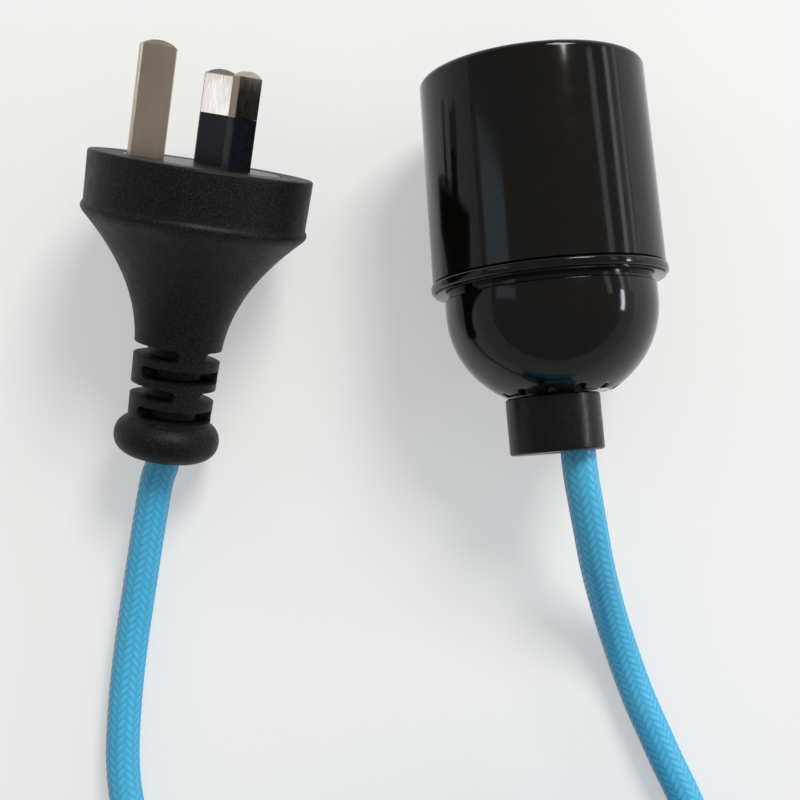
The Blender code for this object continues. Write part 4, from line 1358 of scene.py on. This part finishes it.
    def body(self) -> bpy.types.Object:
        """Makes the moulded body from its face band to its bead, slots included.

        Returns:
            The body.
        """
        hole_r = self.cord_r + self.gap
        recess_r = self.bridge_r + self.gap
        recess = self.bridge_thickness + self.gap
        lip_round = self.lip_width / 2
        outline = [(recess_r, self.face_step), (recess_r + self.face_step, 0.0)]
        outline += arc(self.band_r - self.face_round, self.face_round, self.face_round, -pi / 2, 0, 6)
        outline += straight(outline[-1], (self.band_waist_r, self.band_length), 0.0010)
        outline += arc(self.lip_r - lip_round, self.lip_centre, lip_round, -pi / 4, pi / 4, 8)
        spread = self.flare_start_r - self.neck_top_r
        for i in range(self.flare_rows + 1):
            share = i / self.flare_rows
            radius = self.neck_top_r + spread * (1 - share) ** self.flare_power
            outline.append((radius, self.flare_start + self.flare_length * share))
        neck = self.slot_first - self.slot_height / 2 - 2 * self.slot_soft
        outline = [point for point in outline if point[1] < neck]
        relief_end = self.bulb()[0][1]
        rows = ceil((relief_end - neck) / self.relief_row)
        for i in range(rows):
            z = neck + (relief_end - neck) * i / rows
            share = max(0.0, 1 - (z - self.flare_start) / self.flare_length)
            radius = self.neck_top_r + spread * share ** self.flare_power
            lean = max(0.0, z - self.flare_start - self.flare_length)
            lean /= relief_end - self.flare_start - self.flare_length
            outline.append((radius + (self.neck_end_r - self.neck_top_r) * lean, z))
        outline += self.bulb()
        outline += [(hole_r + self.hole_edge, self.end), (hole_r, self.end - self.hole_edge),
                    (hole_r, self.cord_start - 4 * self.core_r),
                    (self.wire_space_r, self.wire_space_end), (self.wire_space_r, recess),
                    (recess_r, recess)]
        return turned("plug_moulding", outline, self.place, self.body_columns, self.slotted,
                      self.body_sharp)

    def blade(self, width: float, thickness: float, chamfer: float, z: float) -> Ring:
        """Gives the eight corners of a flat blade with its long edges chamfered, wide in X.

        Args:
            width: The blade's width.
            thickness: Its thickness.
            chamfer: How much each long edge loses.
            z: The station of this section.

        Returns:
            The section's corners.
        """
        x, y, c = width / 2, thickness / 2, chamfer
        corners = [(x, -y + c), (x, y - c), (x - c, y), (-x + c, y), (-x, y - c), (-x, -y + c),
                   (-x + c, -y), (x - c, -y)]
        return [(one, other, z) for one, other in corners]

    def pin_place(self, angle: float, radius: float, flat_across: bool) -> Matrix:
        """Gives a pin's place; its flat is across the radius, or along it for the earth pin."""
        turn = angle + (pi / 2 if flat_across else 0)
        return (self.place @ Matrix.Translation((radius * cos(angle), radius * sin(angle), 0))
                @ Matrix.Rotation(turn, 4, "Z"))

    def tip(self, length: float) -> list[Ring]:
        """Gives the arched and bevelled end of a blade, from its point to its full section.

        Args:
            length: How far the blade stands out of the face.

        Returns:
            The end's sections.
        """
        rise, half = self.tip_rise, self.pin_width / 2
        arch_r = (half ** 2 + rise ** 2) / (2 * rise)
        sections = []
        for share in self.tip_shares:
            deep = rise * share
            width = 2 * sqrt(arch_r ** 2 - (arch_r - deep) ** 2)
            thickness = self.tip_thickness + (self.pin_thickness - self.tip_thickness) * share
            chamfer = self.pin_chamfer * (self.tip_chamfer + (1 - self.tip_chamfer) * share)
            sections.append(self.blade(width, thickness, chamfer, deep - length))
        return sections

    def worn_edges(self, pin: bpy.types.Object, tip_end: float, place: Matrix,
                   flats: float = 0.0) -> bpy.types.Object:
        """Marks the faces of a pin where its plating is worn: the two sheared sides and the tip.

        Args:
            pin: The finished pin.
            tip_end: The station where its bevelled tip ends.
            place: From the pin's own frame to the model's.
            flats: How far the broad faces take the brownish worn colour, from 0 to 1.

        Returns:
            The same pin, with its wear as an attribute of its faces.
        """
        back = place.inverted()
        turn = back.to_3x3()
        wear = pin.data.attributes.new(WEAR_NAME, "FLOAT", "FACE")
        for face in pin.data.polygons:
            normal = turn @ face.normal
            at_tip = (back @ face.center).z < tip_end
            side = abs(normal.x) > 0.9 or normal.z < -0.9
            end_or_flat = self.tip_wear if at_tip else flats
            wear.data[face.index].value = self.side_wear if side else end_or_flat
        return pin

    def earth_pin(self, angle: float) -> bpy.types.Object:
        """Makes the earth pin, bare along its whole length.

        Args:
            angle: Where it stands round the face.

        Returns:
            The pin.
        """
        full = (self.pin_width, self.pin_thickness, self.pin_chamfer)
        tail = (self.tail_width, self.pin_thickness, self.pin_chamfer)
        sections = self.tip(self.earth_length)
        sections += [self.blade(*full, self.bridge_thickness), self.blade(*tail, self.bridge_thickness),
                     self.blade(*tail, self.pin_tail)]
        place = self.pin_place(angle, self.earth_r, False)
        pin = lofted("earth_blade", sections, place, sharp=BLADE_SHARP_ANGLE)
        return self.worn_edges(pin, self.tip_rise - self.earth_length, place, self.earth_flat_tint)

    def live_pin(self, side: str, angle: float) -> tuple[bpy.types.Object, bpy.types.Object]:
        """Makes a live pin and its insulating sleeve.

        Args:
            side: Which pin it is, active or neutral.
            angle: Where it stands round the face.

        Returns:
            The pin and the sleeve.
        """
        place = self.pin_place(angle, self.live_r, True)
        small = self.pin_chamfer / 2
        full = (self.pin_width, self.pin_thickness, self.pin_chamfer)
        neck = (self.neck_width, self.neck_thickness, small)
        joint = -self.sleeve_reach - self.seam
        sections = self.tip(self.live_length)
        sections += [self.blade(*full, joint), self.blade(*neck, joint), self.blade(*neck, self.pin_tail)]
        pin = lofted(side + "_blade", sections, place, sharp=BLADE_SHARP_ANGLE)
        self.worn_edges(pin, self.tip_rise - self.live_length, place)
        hole = (self.neck_width + 2 * self.slim_gap, self.neck_thickness + 2 * self.slim_gap, small)
        slight = self.sleeve_edge
        rim = (self.pin_width - 2 * slight, self.pin_thickness - 2 * slight, self.pin_chamfer)
        jacket = lofted(side + "_blade_sleeve", [
            self.blade(*rim, -self.sleeve_reach), self.blade(*full, -self.sleeve_reach + slight),
            self.blade(*full, self.bridge_thickness), self.blade(*hole, self.bridge_thickness),
            self.blade(*hole, -self.sleeve_reach)], place, closed=True)
        return pin, jacket

    def bridge(self, places: list[Matrix]) -> bpy.types.Object:
        """Makes the disc in the plug's face, with a window for each pin.

        Args:
            places: The pins' places.

        Returns:
            The disc.
        """
        edge = self.bridge_edge
        disc = turned("face_bridge", [(0.0, 0.0), (self.bridge_r - edge, 0.0), (self.bridge_r, edge),
                                      (self.bridge_r, self.bridge_thickness),
                                      (0.0, self.bridge_thickness)], self.place, 128)
        for place in places:
            wide = self.pin_width + 2 * self.slim_gap
            deep = self.pin_thickness + 2 * self.slim_gap
            window = lofted("window", [self.blade(wide, deep, self.pin_chamfer, z) for z in
                                       (-self.bridge_thickness, 2 * self.bridge_thickness)], place)
            cut(disc, window)
        return disc

    def build(self, wear: dict[Slot, bpy.types.Material]) -> list[bpy.types.Object]:
        """Makes and dresses every piece of the plug.

        Args:
            wear: The finished materials.

        Returns:
            The pieces, which all go with the cord.
        """
        earth, active, neutral = [self.pin_roll + turn for turn in (pi, pi / 3, -pi / 3)]
        nickel, jacket = wear[Slot.NICKEL], wear[Slot.PIN_INSULATION]
        made = [settle(self.body(), Slot.PVC, wear[Slot.PVC], "plug_body"),
                settle(self.earth_pin(earth), Slot.NICKEL, nickel, "earth_pin")]
        for side, angle in (("active", active), ("neutral", neutral)):
            pin, sleeve = self.live_pin(side, angle)
            made += [settle(pin, Slot.NICKEL, nickel, side + "_pin"),
                     settle(sleeve, Slot.PIN_INSULATION, jacket, side + "_pin_sleeve")]
        places = [self.pin_place(earth, self.earth_r, False), self.pin_place(active, self.live_r, True),
                  self.pin_place(neutral, self.live_r, True)]
        made.append(settle(self.bridge(places), Slot.NYLON, wear[Slot.NYLON], "pin_bridge"))
        return made


@dataclass
class Cord:
    """The braided cord along its whole route, and the strap round its coil."""

    radius: float = 0.0031
    gap: float = 0.0003
    coil_x: float = -0.0190
    coil_y: float = -0.1480
    columns: int = 3
    layers: int = 4
    inner_turn_r: float = 0.0288
    rise_angle: float = radians(150)
    last_turn_drop: float = radians(85)
    tie_width: float = 0.0090
    tie_thickness: float = 0.0005
    tie_inner_gap: float = 0.0003
    tie_bend_steps: int = 6
    stitch_inset: float = 0.0010
    stitch_spacing: float = 0.0015
    stitch_size: Point = (0.00022, 0.00030, 0.0010)
    turn_steps: int = 36
    half_turn_steps: int = 12
    line_steps: int = 10
    fine_ring: float = 0.00032
    coarse_ring: float = 0.0018
    fine_sides: int = 72
    coarse_sides: int = 24
    view_edge: float = -0.108
    braid: Braid = field(default_factory=Braid)
    holder_lead: list[Point] = field(default_factory=lambda: [
        (0.0025, -0.0385, 0.0205), (0.0030, -0.0430, 0.0194), (0.0037, -0.0480, 0.0174),
        (0.0046, -0.0535, 0.0142), (0.0059, -0.0590, 0.0101), (0.0073, -0.0645, 0.0068),
        (0.0088, -0.0700, 0.0045), (0.0103, -0.0755, 0.0033), (0.0119, -0.0810, 0.0031),
        (0.0138, -0.0865, 0.0031), (0.0157, -0.0920, 0.0031), (0.0178, -0.0975, 0.0031),
        (0.0198, -0.1035, 0.0031), (0.0213, -0.1100, 0.0031), (0.0221, -0.1170, 0.0031),
        (0.0222, -0.1245, 0.0031)])
    plug_lead: list[Point] = field(default_factory=lambda: [
        (-0.0670, -0.1400, 0.0031), (-0.0690, -0.1315, 0.0031), (-0.0726, -0.1230, 0.0031),
        (-0.0768, -0.1145, 0.0031), (-0.0806, -0.1060, 0.0031), (-0.0833, -0.0980, 0.0031),
        (-0.0846, -0.0905, 0.0031), (-0.0848, -0.0835, 0.0031), (-0.0841, -0.0763, 0.0031),
        (-0.0830, -0.0690, 0.0031), (-0.0816, -0.0617, 0.0032), (-0.0799, -0.0544, 0.0037),
        (-0.0781, -0.0470, 0.0045), (-0.0762, -0.0397, 0.0057), (-0.0741, -0.0325, 0.0073)])

    def __post_init__(self) -> None:
        """Works out the coil's radii and heights."""
        self.lift = self.tie_thickness + self.gap
        self.outer_turn_r = self.inner_turn_r + (self.columns - 1) * 2 * self.radius
        self.last_turn_r = self.outer_turn_r + 2 * self.radius + 3 * self.gap
        self.height = self.layers * 2 * self.radius

    def round_coil(self, radius: float, angle: float, z: float) -> Vector:
        """Gives a point about the coil's centre, its angle clockwise from the east."""
        return Vector((self.coil_x + radius * cos(angle), self.coil_y - radius * sin(angle), z))

    def coil_turns(self) -> list[Vector]:
        """Winds the spare length: out to in, then in to out, a layer at a time.

        Each turn first rises to its own layer and then slides over to the next turn's column, so
        that neighbouring turns stay a diameter apart all the way round.

        Returns:
            The points of all the turns, the first one in the east on the table side.
        """
        across = list(range(self.columns))
        seats = []
        for layer in range(self.layers):
            order = across[::-1] if layer % 2 == 0 else across
            seats += [(self.inner_turn_r + column * 2 * self.radius,
                       self.lift + (2 * layer + 1) * self.radius) for column in order]
        seats.append((self.last_turn_r, seats[-1][1]))
        points = []
        for number, (radius, z) in enumerate(seats[:-1]):
            before = seats[max(0, number - 1)][1]
            for i in range(self.turn_steps):
                angle = 2 * pi * i / self.turn_steps
                rise = smooth_step(angle / self.rise_angle)
                slide = smooth_step((angle - self.rise_angle) / (2 * pi - self.rise_angle))
                points.append(self.round_coil(radius + (seats[number + 1][0] - radius) * slide, angle,
                                              before + (z - before) * rise))
        return points

    def last_half_turn(self) -> list[Vector]:
        """Lets the cord slip off the coil's top and run round its foot on the table.

        Returns:
            The points of the half turn.
        """
        top = self.lift + self.height - self.radius
        points = []
        for i in range(self.half_turn_steps + 1):
            angle = pi * i / self.half_turn_steps
            ease = smooth_step(angle / self.last_turn_drop)
            points.append(self.round_coil(self.last_turn_r, angle, top + (self.radius - top) * ease))
        return points

    def route(self, holder: Lampholder, plug: Plug) -> list[Vector]:
        """Gives the whole route, from inside the collar to inside the plug's bead.

        Args:
            holder: Where the cord starts.
            plug: Where it ends.

        Returns:
            The route's own points, in order.
        """
        mouth = holder.place.translation.y
        inside = [Vector((holder.cord_offset, mouth - station, holder.flange_r))
                  for station in (holder.cord_start, holder.length)]
        ends = [plug.end, (plug.end + plug.cord_start) / 2, plug.cord_start]
        return (inside + [Vector(point) for point in self.holder_lead] + self.coil_turns()
                + self.last_half_turn() + [Vector(point) for point in self.plug_lead]
                + [plug.axis_point(station) for station in ends])

    def smooth_line(self, knots: list[Vector]) -> list[Vector]:
        """Gives closely spaced points on one smooth curve through the knots.

        Args:
            knots: The route's own points.

        Returns:
            The points of the curve, none lower than the cord lies.
        """
        padded = [2 * knots[0] - knots[1], *knots, 2 * knots[-1] - knots[-2]]
        fine = []
        for before, start, end, after in zip(padded, padded[1:], padded[2:], padded[3:]):
            for i in range(self.line_steps):
                t = i / self.line_steps
                fine.append(0.5 * (2 * start + (end - before) * t
                                   + (2 * before - 5 * start + 4 * end - after) * t ** 2
                                   + (3 * start - before - 3 * end + after) * t ** 3))
        fine.append(knots[-1])
        return [Vector((p.x, p.y, max(p.z, self.radius))) for p in fine]

    def stations(self, line: list[Vector]) -> list[tuple[float, Vector, bool]]:
        """Places the rings along the line, close together where the camera sees the cord.

        Args:
            line: The smooth line.

        Returns:
            Each ring's distance along the cord, its centre, and whether it is a fine one.
        """
        reach = [0.0]
        for one, other in zip(line, line[1:]):
            reach.append(reach[-1] + (other - one).length)
        found = []
        along = 0.0
        here = 0
        while along < reach[-1]:
            while reach[here + 1] < along:
                here += 1
            share = (along - reach[here]) / (reach[here + 1] - reach[here])
            centre = line[here].lerp(line[here + 1], share)
            fine = centre.y > self.view_edge
            found.append((along, centre, fine))
            along += self.fine_ring if fine else self.coarse_ring
        found.append((reach[-1], line[-1], found[-1][2]))
        return found

    def tube(self, name: str, line: list[Vector]) -> bpy.types.Object:
        """Makes the cord as one closed tube, its braid in relief where the camera sees it.

        Args:
            name: The piece's name.
            line: The smooth line that it follows.

        Returns:
            The cord, with its braid coordinates in a UV map.
        """
        rings = self.stations(line)
        verts: list[Vector] = []
        rows: list[list[int]] = []
        side = Vector((1, 0, 0))
        for i, (along, centre, fine) in enumerate(rings):
            ahead = rings[min(i + 1, len(rings) - 1)][1] - rings[max(i - 1, 0)][1]
            ahead.normalize()
            side = (side - ahead * side.dot(ahead)).normalized()
            up = ahead.cross(side)
            sides = self.fine_sides if fine else self.coarse_sides
            first = len(verts)
            for j in range(sides):
                angle = 2 * pi * j / sides
                radius = self.radius
                if fine:
                    height = self.braid.height(self.braid.columns * j / sides, along / self.braid.row)
                    radius += self.braid.relief * (height - 1.0)
                verts.append(centre + radius * (cos(angle) * side + sin(angle) * up))
            rows.append(list(range(first, first + sides)))
        faces, corners = [], []
        for i, (row, following) in enumerate(zip(rows, rows[1:])):
            near, far = rings[i][0] / self.braid.row, rings[i + 1][0] / self.braid.row
            few = min(len(row), len(following))
            for j in range(few):
                face, places = self.patch(row, following, j, few, near, far)
                faces.append(face)
                corners += places
        for row, along in ((rows[0][::-1], rings[0][0]), (rows[-1], rings[-1][0])):
            faces.append(row)
            corners += [(0.0, along / self.braid.row)] * len(row)
        data = bpy.data.meshes.new(name)
        data.from_pydata(verts, [], faces)
        layer = data.uv_layers.new(name=BRAID_MAP)
        layer.data.foreach_set("uv", [number for corner in corners for number in corner])
        data.shade_smooth()
        return add_object(name, data)

    def patch(self, row: list[int], following: list[int], j: int, few: int, near: float,
              far: float) -> tuple[list[int], list[tuple[float, float]]]:
        """Gives the face between two rings over one coarse step, and its braid coordinates.

        Args:
            row: The nearer ring's points.
            following: The further ring's points.
            j: The step's number.
            few: How many steps the coarser ring has.
            near: The nearer ring's row number in the braid.
            far: The further ring's row number.

        Returns:
            The face's point numbers and the coordinates of its corners.
        """
        face, places = [], []
        for ring, v, forward in ((row, near, True), (following, far, False)):
            each = len(ring) // few
            numbers = range(j * each, (j + 1) * each + 1)
            for number in numbers if forward else reversed(numbers):
                face.append(ring[number % len(ring)])
                places.append((self.braid.columns * number / len(ring), v))
        return face, places

    def strap(self) -> bpy.types.Object:
        """Makes the strap round the coil's turns, as one closed band.

        Returns:
            The strap.
        """
        loop = self.strap_loop(0.0)
        outer = self.strap_loop(self.tie_thickness)
        half = self.tie_width / 2
        sections = [[(ox, y, oz) for (ox, oz), y in ((outer[i], -half), (outer[i], half))]
                    + [(ix, y, iz) for (ix, iz), y in ((loop[i], half), (loop[i], -half))]
                    for i in range(len(loop))]
        return lofted("coil_strap", sections, self.strap_place(), closed=True)

    def strap_place(self) -> Matrix:
        """Gives the way from the strap's own frame, its width along Y, to the model's."""
        return Matrix.Translation((self.coil_x, self.coil_y, 0)) @ Matrix.Rotation(pi / 2, 4, "Z")

    def strap_loop(self, grow: float) -> Outline:
        """Gives the strap's rounded path as (distance from the coil's centre, height).

        Args:
            grow: How far outside the strap's inner face the path lies.

        Returns:
            The path's points.
        """
        clear = 2 * self.gap / 3
        low = self.lift - clear
        high = self.lift + self.height + clear
        inner = self.inner_turn_r - self.radius - clear - self.tie_inner_gap
        outer = self.outer_turn_r + self.radius + clear
        bend = self.radius + grow
        points = []
        for x, z, start in ((outer, low, -pi / 2), (outer, high, 0.0), (inner, high, pi / 2),
                            (inner, low, pi)):
            in_x = x - self.radius if x == outer else x + self.radius
            in_z = z + self.radius if z == low else z - self.radius
            points += arc(in_x, in_z, bend, start, start + pi / 2, self.tie_bend_steps)
        return points

    def stitching(self, material: bpy.types.Material) -> bpy.types.Object:
        """Makes the two rows of stitches along the strap's edges.

        Args:
            material: What they wear.

        Returns:
            The stitches.
        """
        recipe = SweepTree("stitch_rows", {
            "Spacing": "NodeSocketFloat", "Stitch Size": "NodeSocketVector",
            "Material": "NodeSocketMaterial"})
        given = recipe.given
        spaced = recipe.add("GeometryNodeResampleCurve", {
            "Curve": given["Geometry"], "Length": given["Spacing"]}, mode="LENGTH")
        bead = recipe.add("GeometryNodeMeshUVSphere", {"Segments": 8, "Rings": 5, "Radius": 0.5})
        points = recipe.add("GeometryNodeCurveToPoints", {"Curve": spaced.outputs["Curve"]},
                            mode="EVALUATED")
        laid = recipe.add("GeometryNodeInstanceOnPoints", {
            "Points": points.outputs["Points"], "Instance": bead.outputs["Mesh"],
            "Rotation": points.outputs["Rotation"], "Scale": given["Stitch Size"]})
        recipe.end(laid.outputs["Instances"])
        curve = bpy.data.curves.new("stitch_line", "CURVE")
        curve.dimensions = "3D"
        turn = self.strap_place()
        loop = self.strap_loop(self.tie_thickness)
        row = self.tie_width / 2 - self.stitch_inset
        for y in (-row, row):
            line = curve.splines.new("POLY")
            line.points.add(len(loop) - 1)
            for knot, (x, z) in zip(line.points, loop):
                knot.co = (*(turn @ Vector((x, y, z))), 1)
            line.use_cyclic_u = True
        return recipe.run("strap_stitching", add_object("stitch_host", curve), {
            "Spacing": self.stitch_spacing, "Stitch Size": self.stitch_size, "Material": material})

    def build(self, wear: dict[Slot, bpy.types.Material], holder: Lampholder, plug: Plug,
              plug_pieces: list[bpy.types.Object]) -> None:
        """Args:
            wear: The finished materials.
            holder: Where the cord leaves the object.
            plug: Where it ends.
            plug_pieces: The plug's pieces, which go with the cord; not used.
        """
        line = self.smooth_line(self.route(holder, plug))
        cord = settle(self.tube("braided_cord", line), Slot.BRAID, wear[Slot.BRAID],
                      "cord_holder_lead", "cord_coil", "cord_plug_lead")
        strap = settle(self.strap(), Slot.WEBBING, wear[Slot.WEBBING], "coil_tie")
        stitches = settle(self.stitching(wear[Slot.WEBBING]), Slot.WEBBING, wear[Slot.WEBBING])


@dataclass
class SoftLight:
    """A rectangular lamp that faces a point of the object, placed by the direction it shines from."""

    name: str
    azimuth: float
    elevation: float
    width: float
    height: float
    radiance: float
    colour: str = "#ffffff"
    distance: float = 0.75
    over: Point = (-0.028, -0.022, 0.015)
    only: tuple[str, ...] = ()

    def build(self) -> None:
        """Makes the lamp, aimed at its point, and kept to the pieces that it is only for."""
        around, above = radians(self.azimuth), radians(self.elevation)
        away = Vector((cos(above) * cos(around), cos(above) * sin(around), sin(above)))
        data = bpy.data.lights.new(self.name, "AREA")
        data.shape = "RECTANGLE"
        data.size = self.width
        data.size_y = self.height
        data.energy = self.radiance * pi * self.width * self.height
        data.color = linear(self.colour)[:3]
        lamp = add_object(self.name, data)
        lamp.location = Vector(self.over) + away * self.distance
        lamp.visible_camera = False
        if self.only:
            lit = bpy.data.collections.new(self.name + "_lit")
            for name in self.only:
                lit.objects.link(bpy.data.objects[name])
            lamp.light_linking.receiver_collection = lit
        lamp.rotation_mode = "QUATERNION"
        lamp.rotation_quaternion = away.to_track_quat("Z", "Y")


@dataclass
class Studio:
    """The camera over the table, the pale sweep and the lamps."""

    eye: Point = (-0.02953, -0.03943, 0.26675)
    aim: Point = (-0.02809, -0.02224, 0.0200)
    picture_up: Point = (0.0837, 0.9965, 0.0)
    lens: float = 63.0
    sensor: float = 36.0
    sweep_radius: float = 1.6
    sweep_bend: float = 0.4
    sweep_wall: float = 0.12
    sweep_thickness: float = 0.01
    sweep_depth: float = 0.02
    world_level: float = 0.35
    paint: str = "#bdbdbd"
    lift: float = 0.42
    lights: list[SoftLight] = field(default_factory=lambda: [
        SoftLight("key", 55, 45, 0.47, 0.47, 20.0, "#fffdf8", distance=1.4),
        SoftLight("window_right", -1, 15.5, 0.23, 0.060, 22.0, "#eef6ff", over=DOME_SIDE),
        SoftLight("frame_high", 16, 31.5, 0.26, 0.080, 1.3, over=SLEEVE_RIGHT),
        SoftLight("frame_middle", 16, 13.5, 0.23, 0.060, 2.2, "#f3f6ff", over=SLEEVE_RIGHT),
        SoftLight("frame_low", 16, 2.0, 0.26, 0.050, 1.0, over=SLEEVE_RIGHT),
        SoftLight("sky_left", 165.5, 34, 0.125, 0.30, 1.2, "#b9d8ea", over=SLEEVE_LEFT),
        SoftLight("card_over_neutral", -149, 70, 0.16, 0.16, 1.7, "#e9f1ff", distance=0.5, over=LIVE_PINS,
                  only=("neutral_blade",)),
        SoftLight("card_over_earth", 176, 43, 0.07, 0.07, 2.0, distance=0.5, over=EARTH_PIN,
                  only=("earth_blade", "active_blade")),
    ])

    def camera(self) -> None:
        """Makes the camera that sees what the photograph shows."""
        data = bpy.data.cameras.new("camera")
        data.lens = self.lens
        data.sensor_width = self.sensor
        data.clip_start = 0.01
        eye, aim = Vector(self.eye), Vector(self.aim)
        back = (eye - aim).normalized()
        right = Vector(self.picture_up).cross(back).normalized()
        up = back.cross(right)
        made = add_object("camera", data)
        made.matrix_world = Matrix.Translation(eye) @ Matrix((right, up, back)).transposed().to_4x4()
        bpy.context.scene.camera = made

    def floor(self) -> None:
        """Makes the pale sweep: a flat floor that curves up into a low wall all round."""
        made = bpy.data.materials.new("pale_sweep")
        made.use_nodes = True
        tree = made.node_tree
        tree.nodes.clear()
        paint = add_node(tree, "ShaderNodeBsdfDiffuse", {"Color": linear(self.paint)})
        path = add_node(tree, "ShaderNodeLightPath").outputs
        seen = add_node(tree, "ShaderNodeMath", {0: path["Is Camera Ray"], 1: path["Is Glossy Ray"]},
                        operation="MAXIMUM")
        seen = add_node(tree, "ShaderNodeMath", {0: seen.outputs[0], 1: path["Is Transmission Ray"]},
                        operation="MAXIMUM")
        glow = add_node(tree, "ShaderNodeMath", {0: seen.outputs[0], 1: self.lift},
                        operation="MULTIPLY")
        light = add_node(tree, "ShaderNodeEmission", {"Strength": glow.outputs[0]})
        both = add_node(tree, "ShaderNodeAddShader", {0: paint.outputs[0], 1: light.outputs[0]})
        add_node(tree, "ShaderNodeOutputMaterial", {"Surface": both.outputs[0]})
        flat, top = self.sweep_radius - self.sweep_bend, self.sweep_bend + self.sweep_wall
        back = self.sweep_radius + self.sweep_thickness
        outline = [(0.0, 0.0), (flat, 0.0)]
        outline += arc(flat, self.sweep_bend, self.sweep_bend, -pi / 2, 0, 16)
        outline += [(self.sweep_radius, top), (back, top), (back, -self.sweep_depth),
                    (0.0, -self.sweep_depth)]
        sweep = turned("sweep", outline, Matrix.Identity(4), 96)
        sweep.data.materials.append(made)

    def world(self) -> None:
        """Sets the plain surrounding light and the view transform."""
        scene = bpy.context.scene
        scene.view_settings.view_transform = "Standard"
        world = bpy.data.worlds.new("studio")
        world.use_nodes = True
        background = world.node_tree.nodes["Background"]
        background.inputs["Color"].default_value = linear("#ffffff")
        background.inputs["Strength"].default_value = self.world_level
        scene.world = world

    def build(self) -> None:
        """Makes the floor, the world and the lamps."""
        self.floor()
        self.world()
        for light in self.lights:
            light.build()


def clear_scene() -> None:
    """Removes what the scene starts with."""
    for thing in list(bpy.data.objects):
        bpy.data.objects.remove(thing, do_unlink=True)


def dress_nodes(nodes: dict[str, bpy.types.Object], wear: dict[Slot, bpy.types.Material]) -> None:
    """Gives the model's own nodes that stay in sight their finishes.

    Args:
        nodes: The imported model's nodes.
        wear: The finished materials.
    """
    for name, slot in CARRIED_OVER.items():
        node = nodes[name]
        node.data.materials.clear()
        node.data.materials.append(wear[slot])
        LOG.info("dressed %s, slot %s", name, slot.value)


def main() -> None:
    """Builds the camera, the cord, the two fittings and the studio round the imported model."""
    logging.basicConfig(level=logging.INFO, format="%(name)s: %(message)s")
    clear_scene()
    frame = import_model()
    studio = Studio()
    studio.camera()
    wear = {slot: finish.build() for slot, finish in FINISHES.items()}
    holder = Lampholder()
    plug = Plug()
    plug_pieces = plug.build(wear)
    Cord().build(wear, holder, plug, plug_pieces)
    holder.build(wear)
    dress_nodes(frame["nodes"], wear)
    studio.build()


if __name__ == "__main__":
    main()
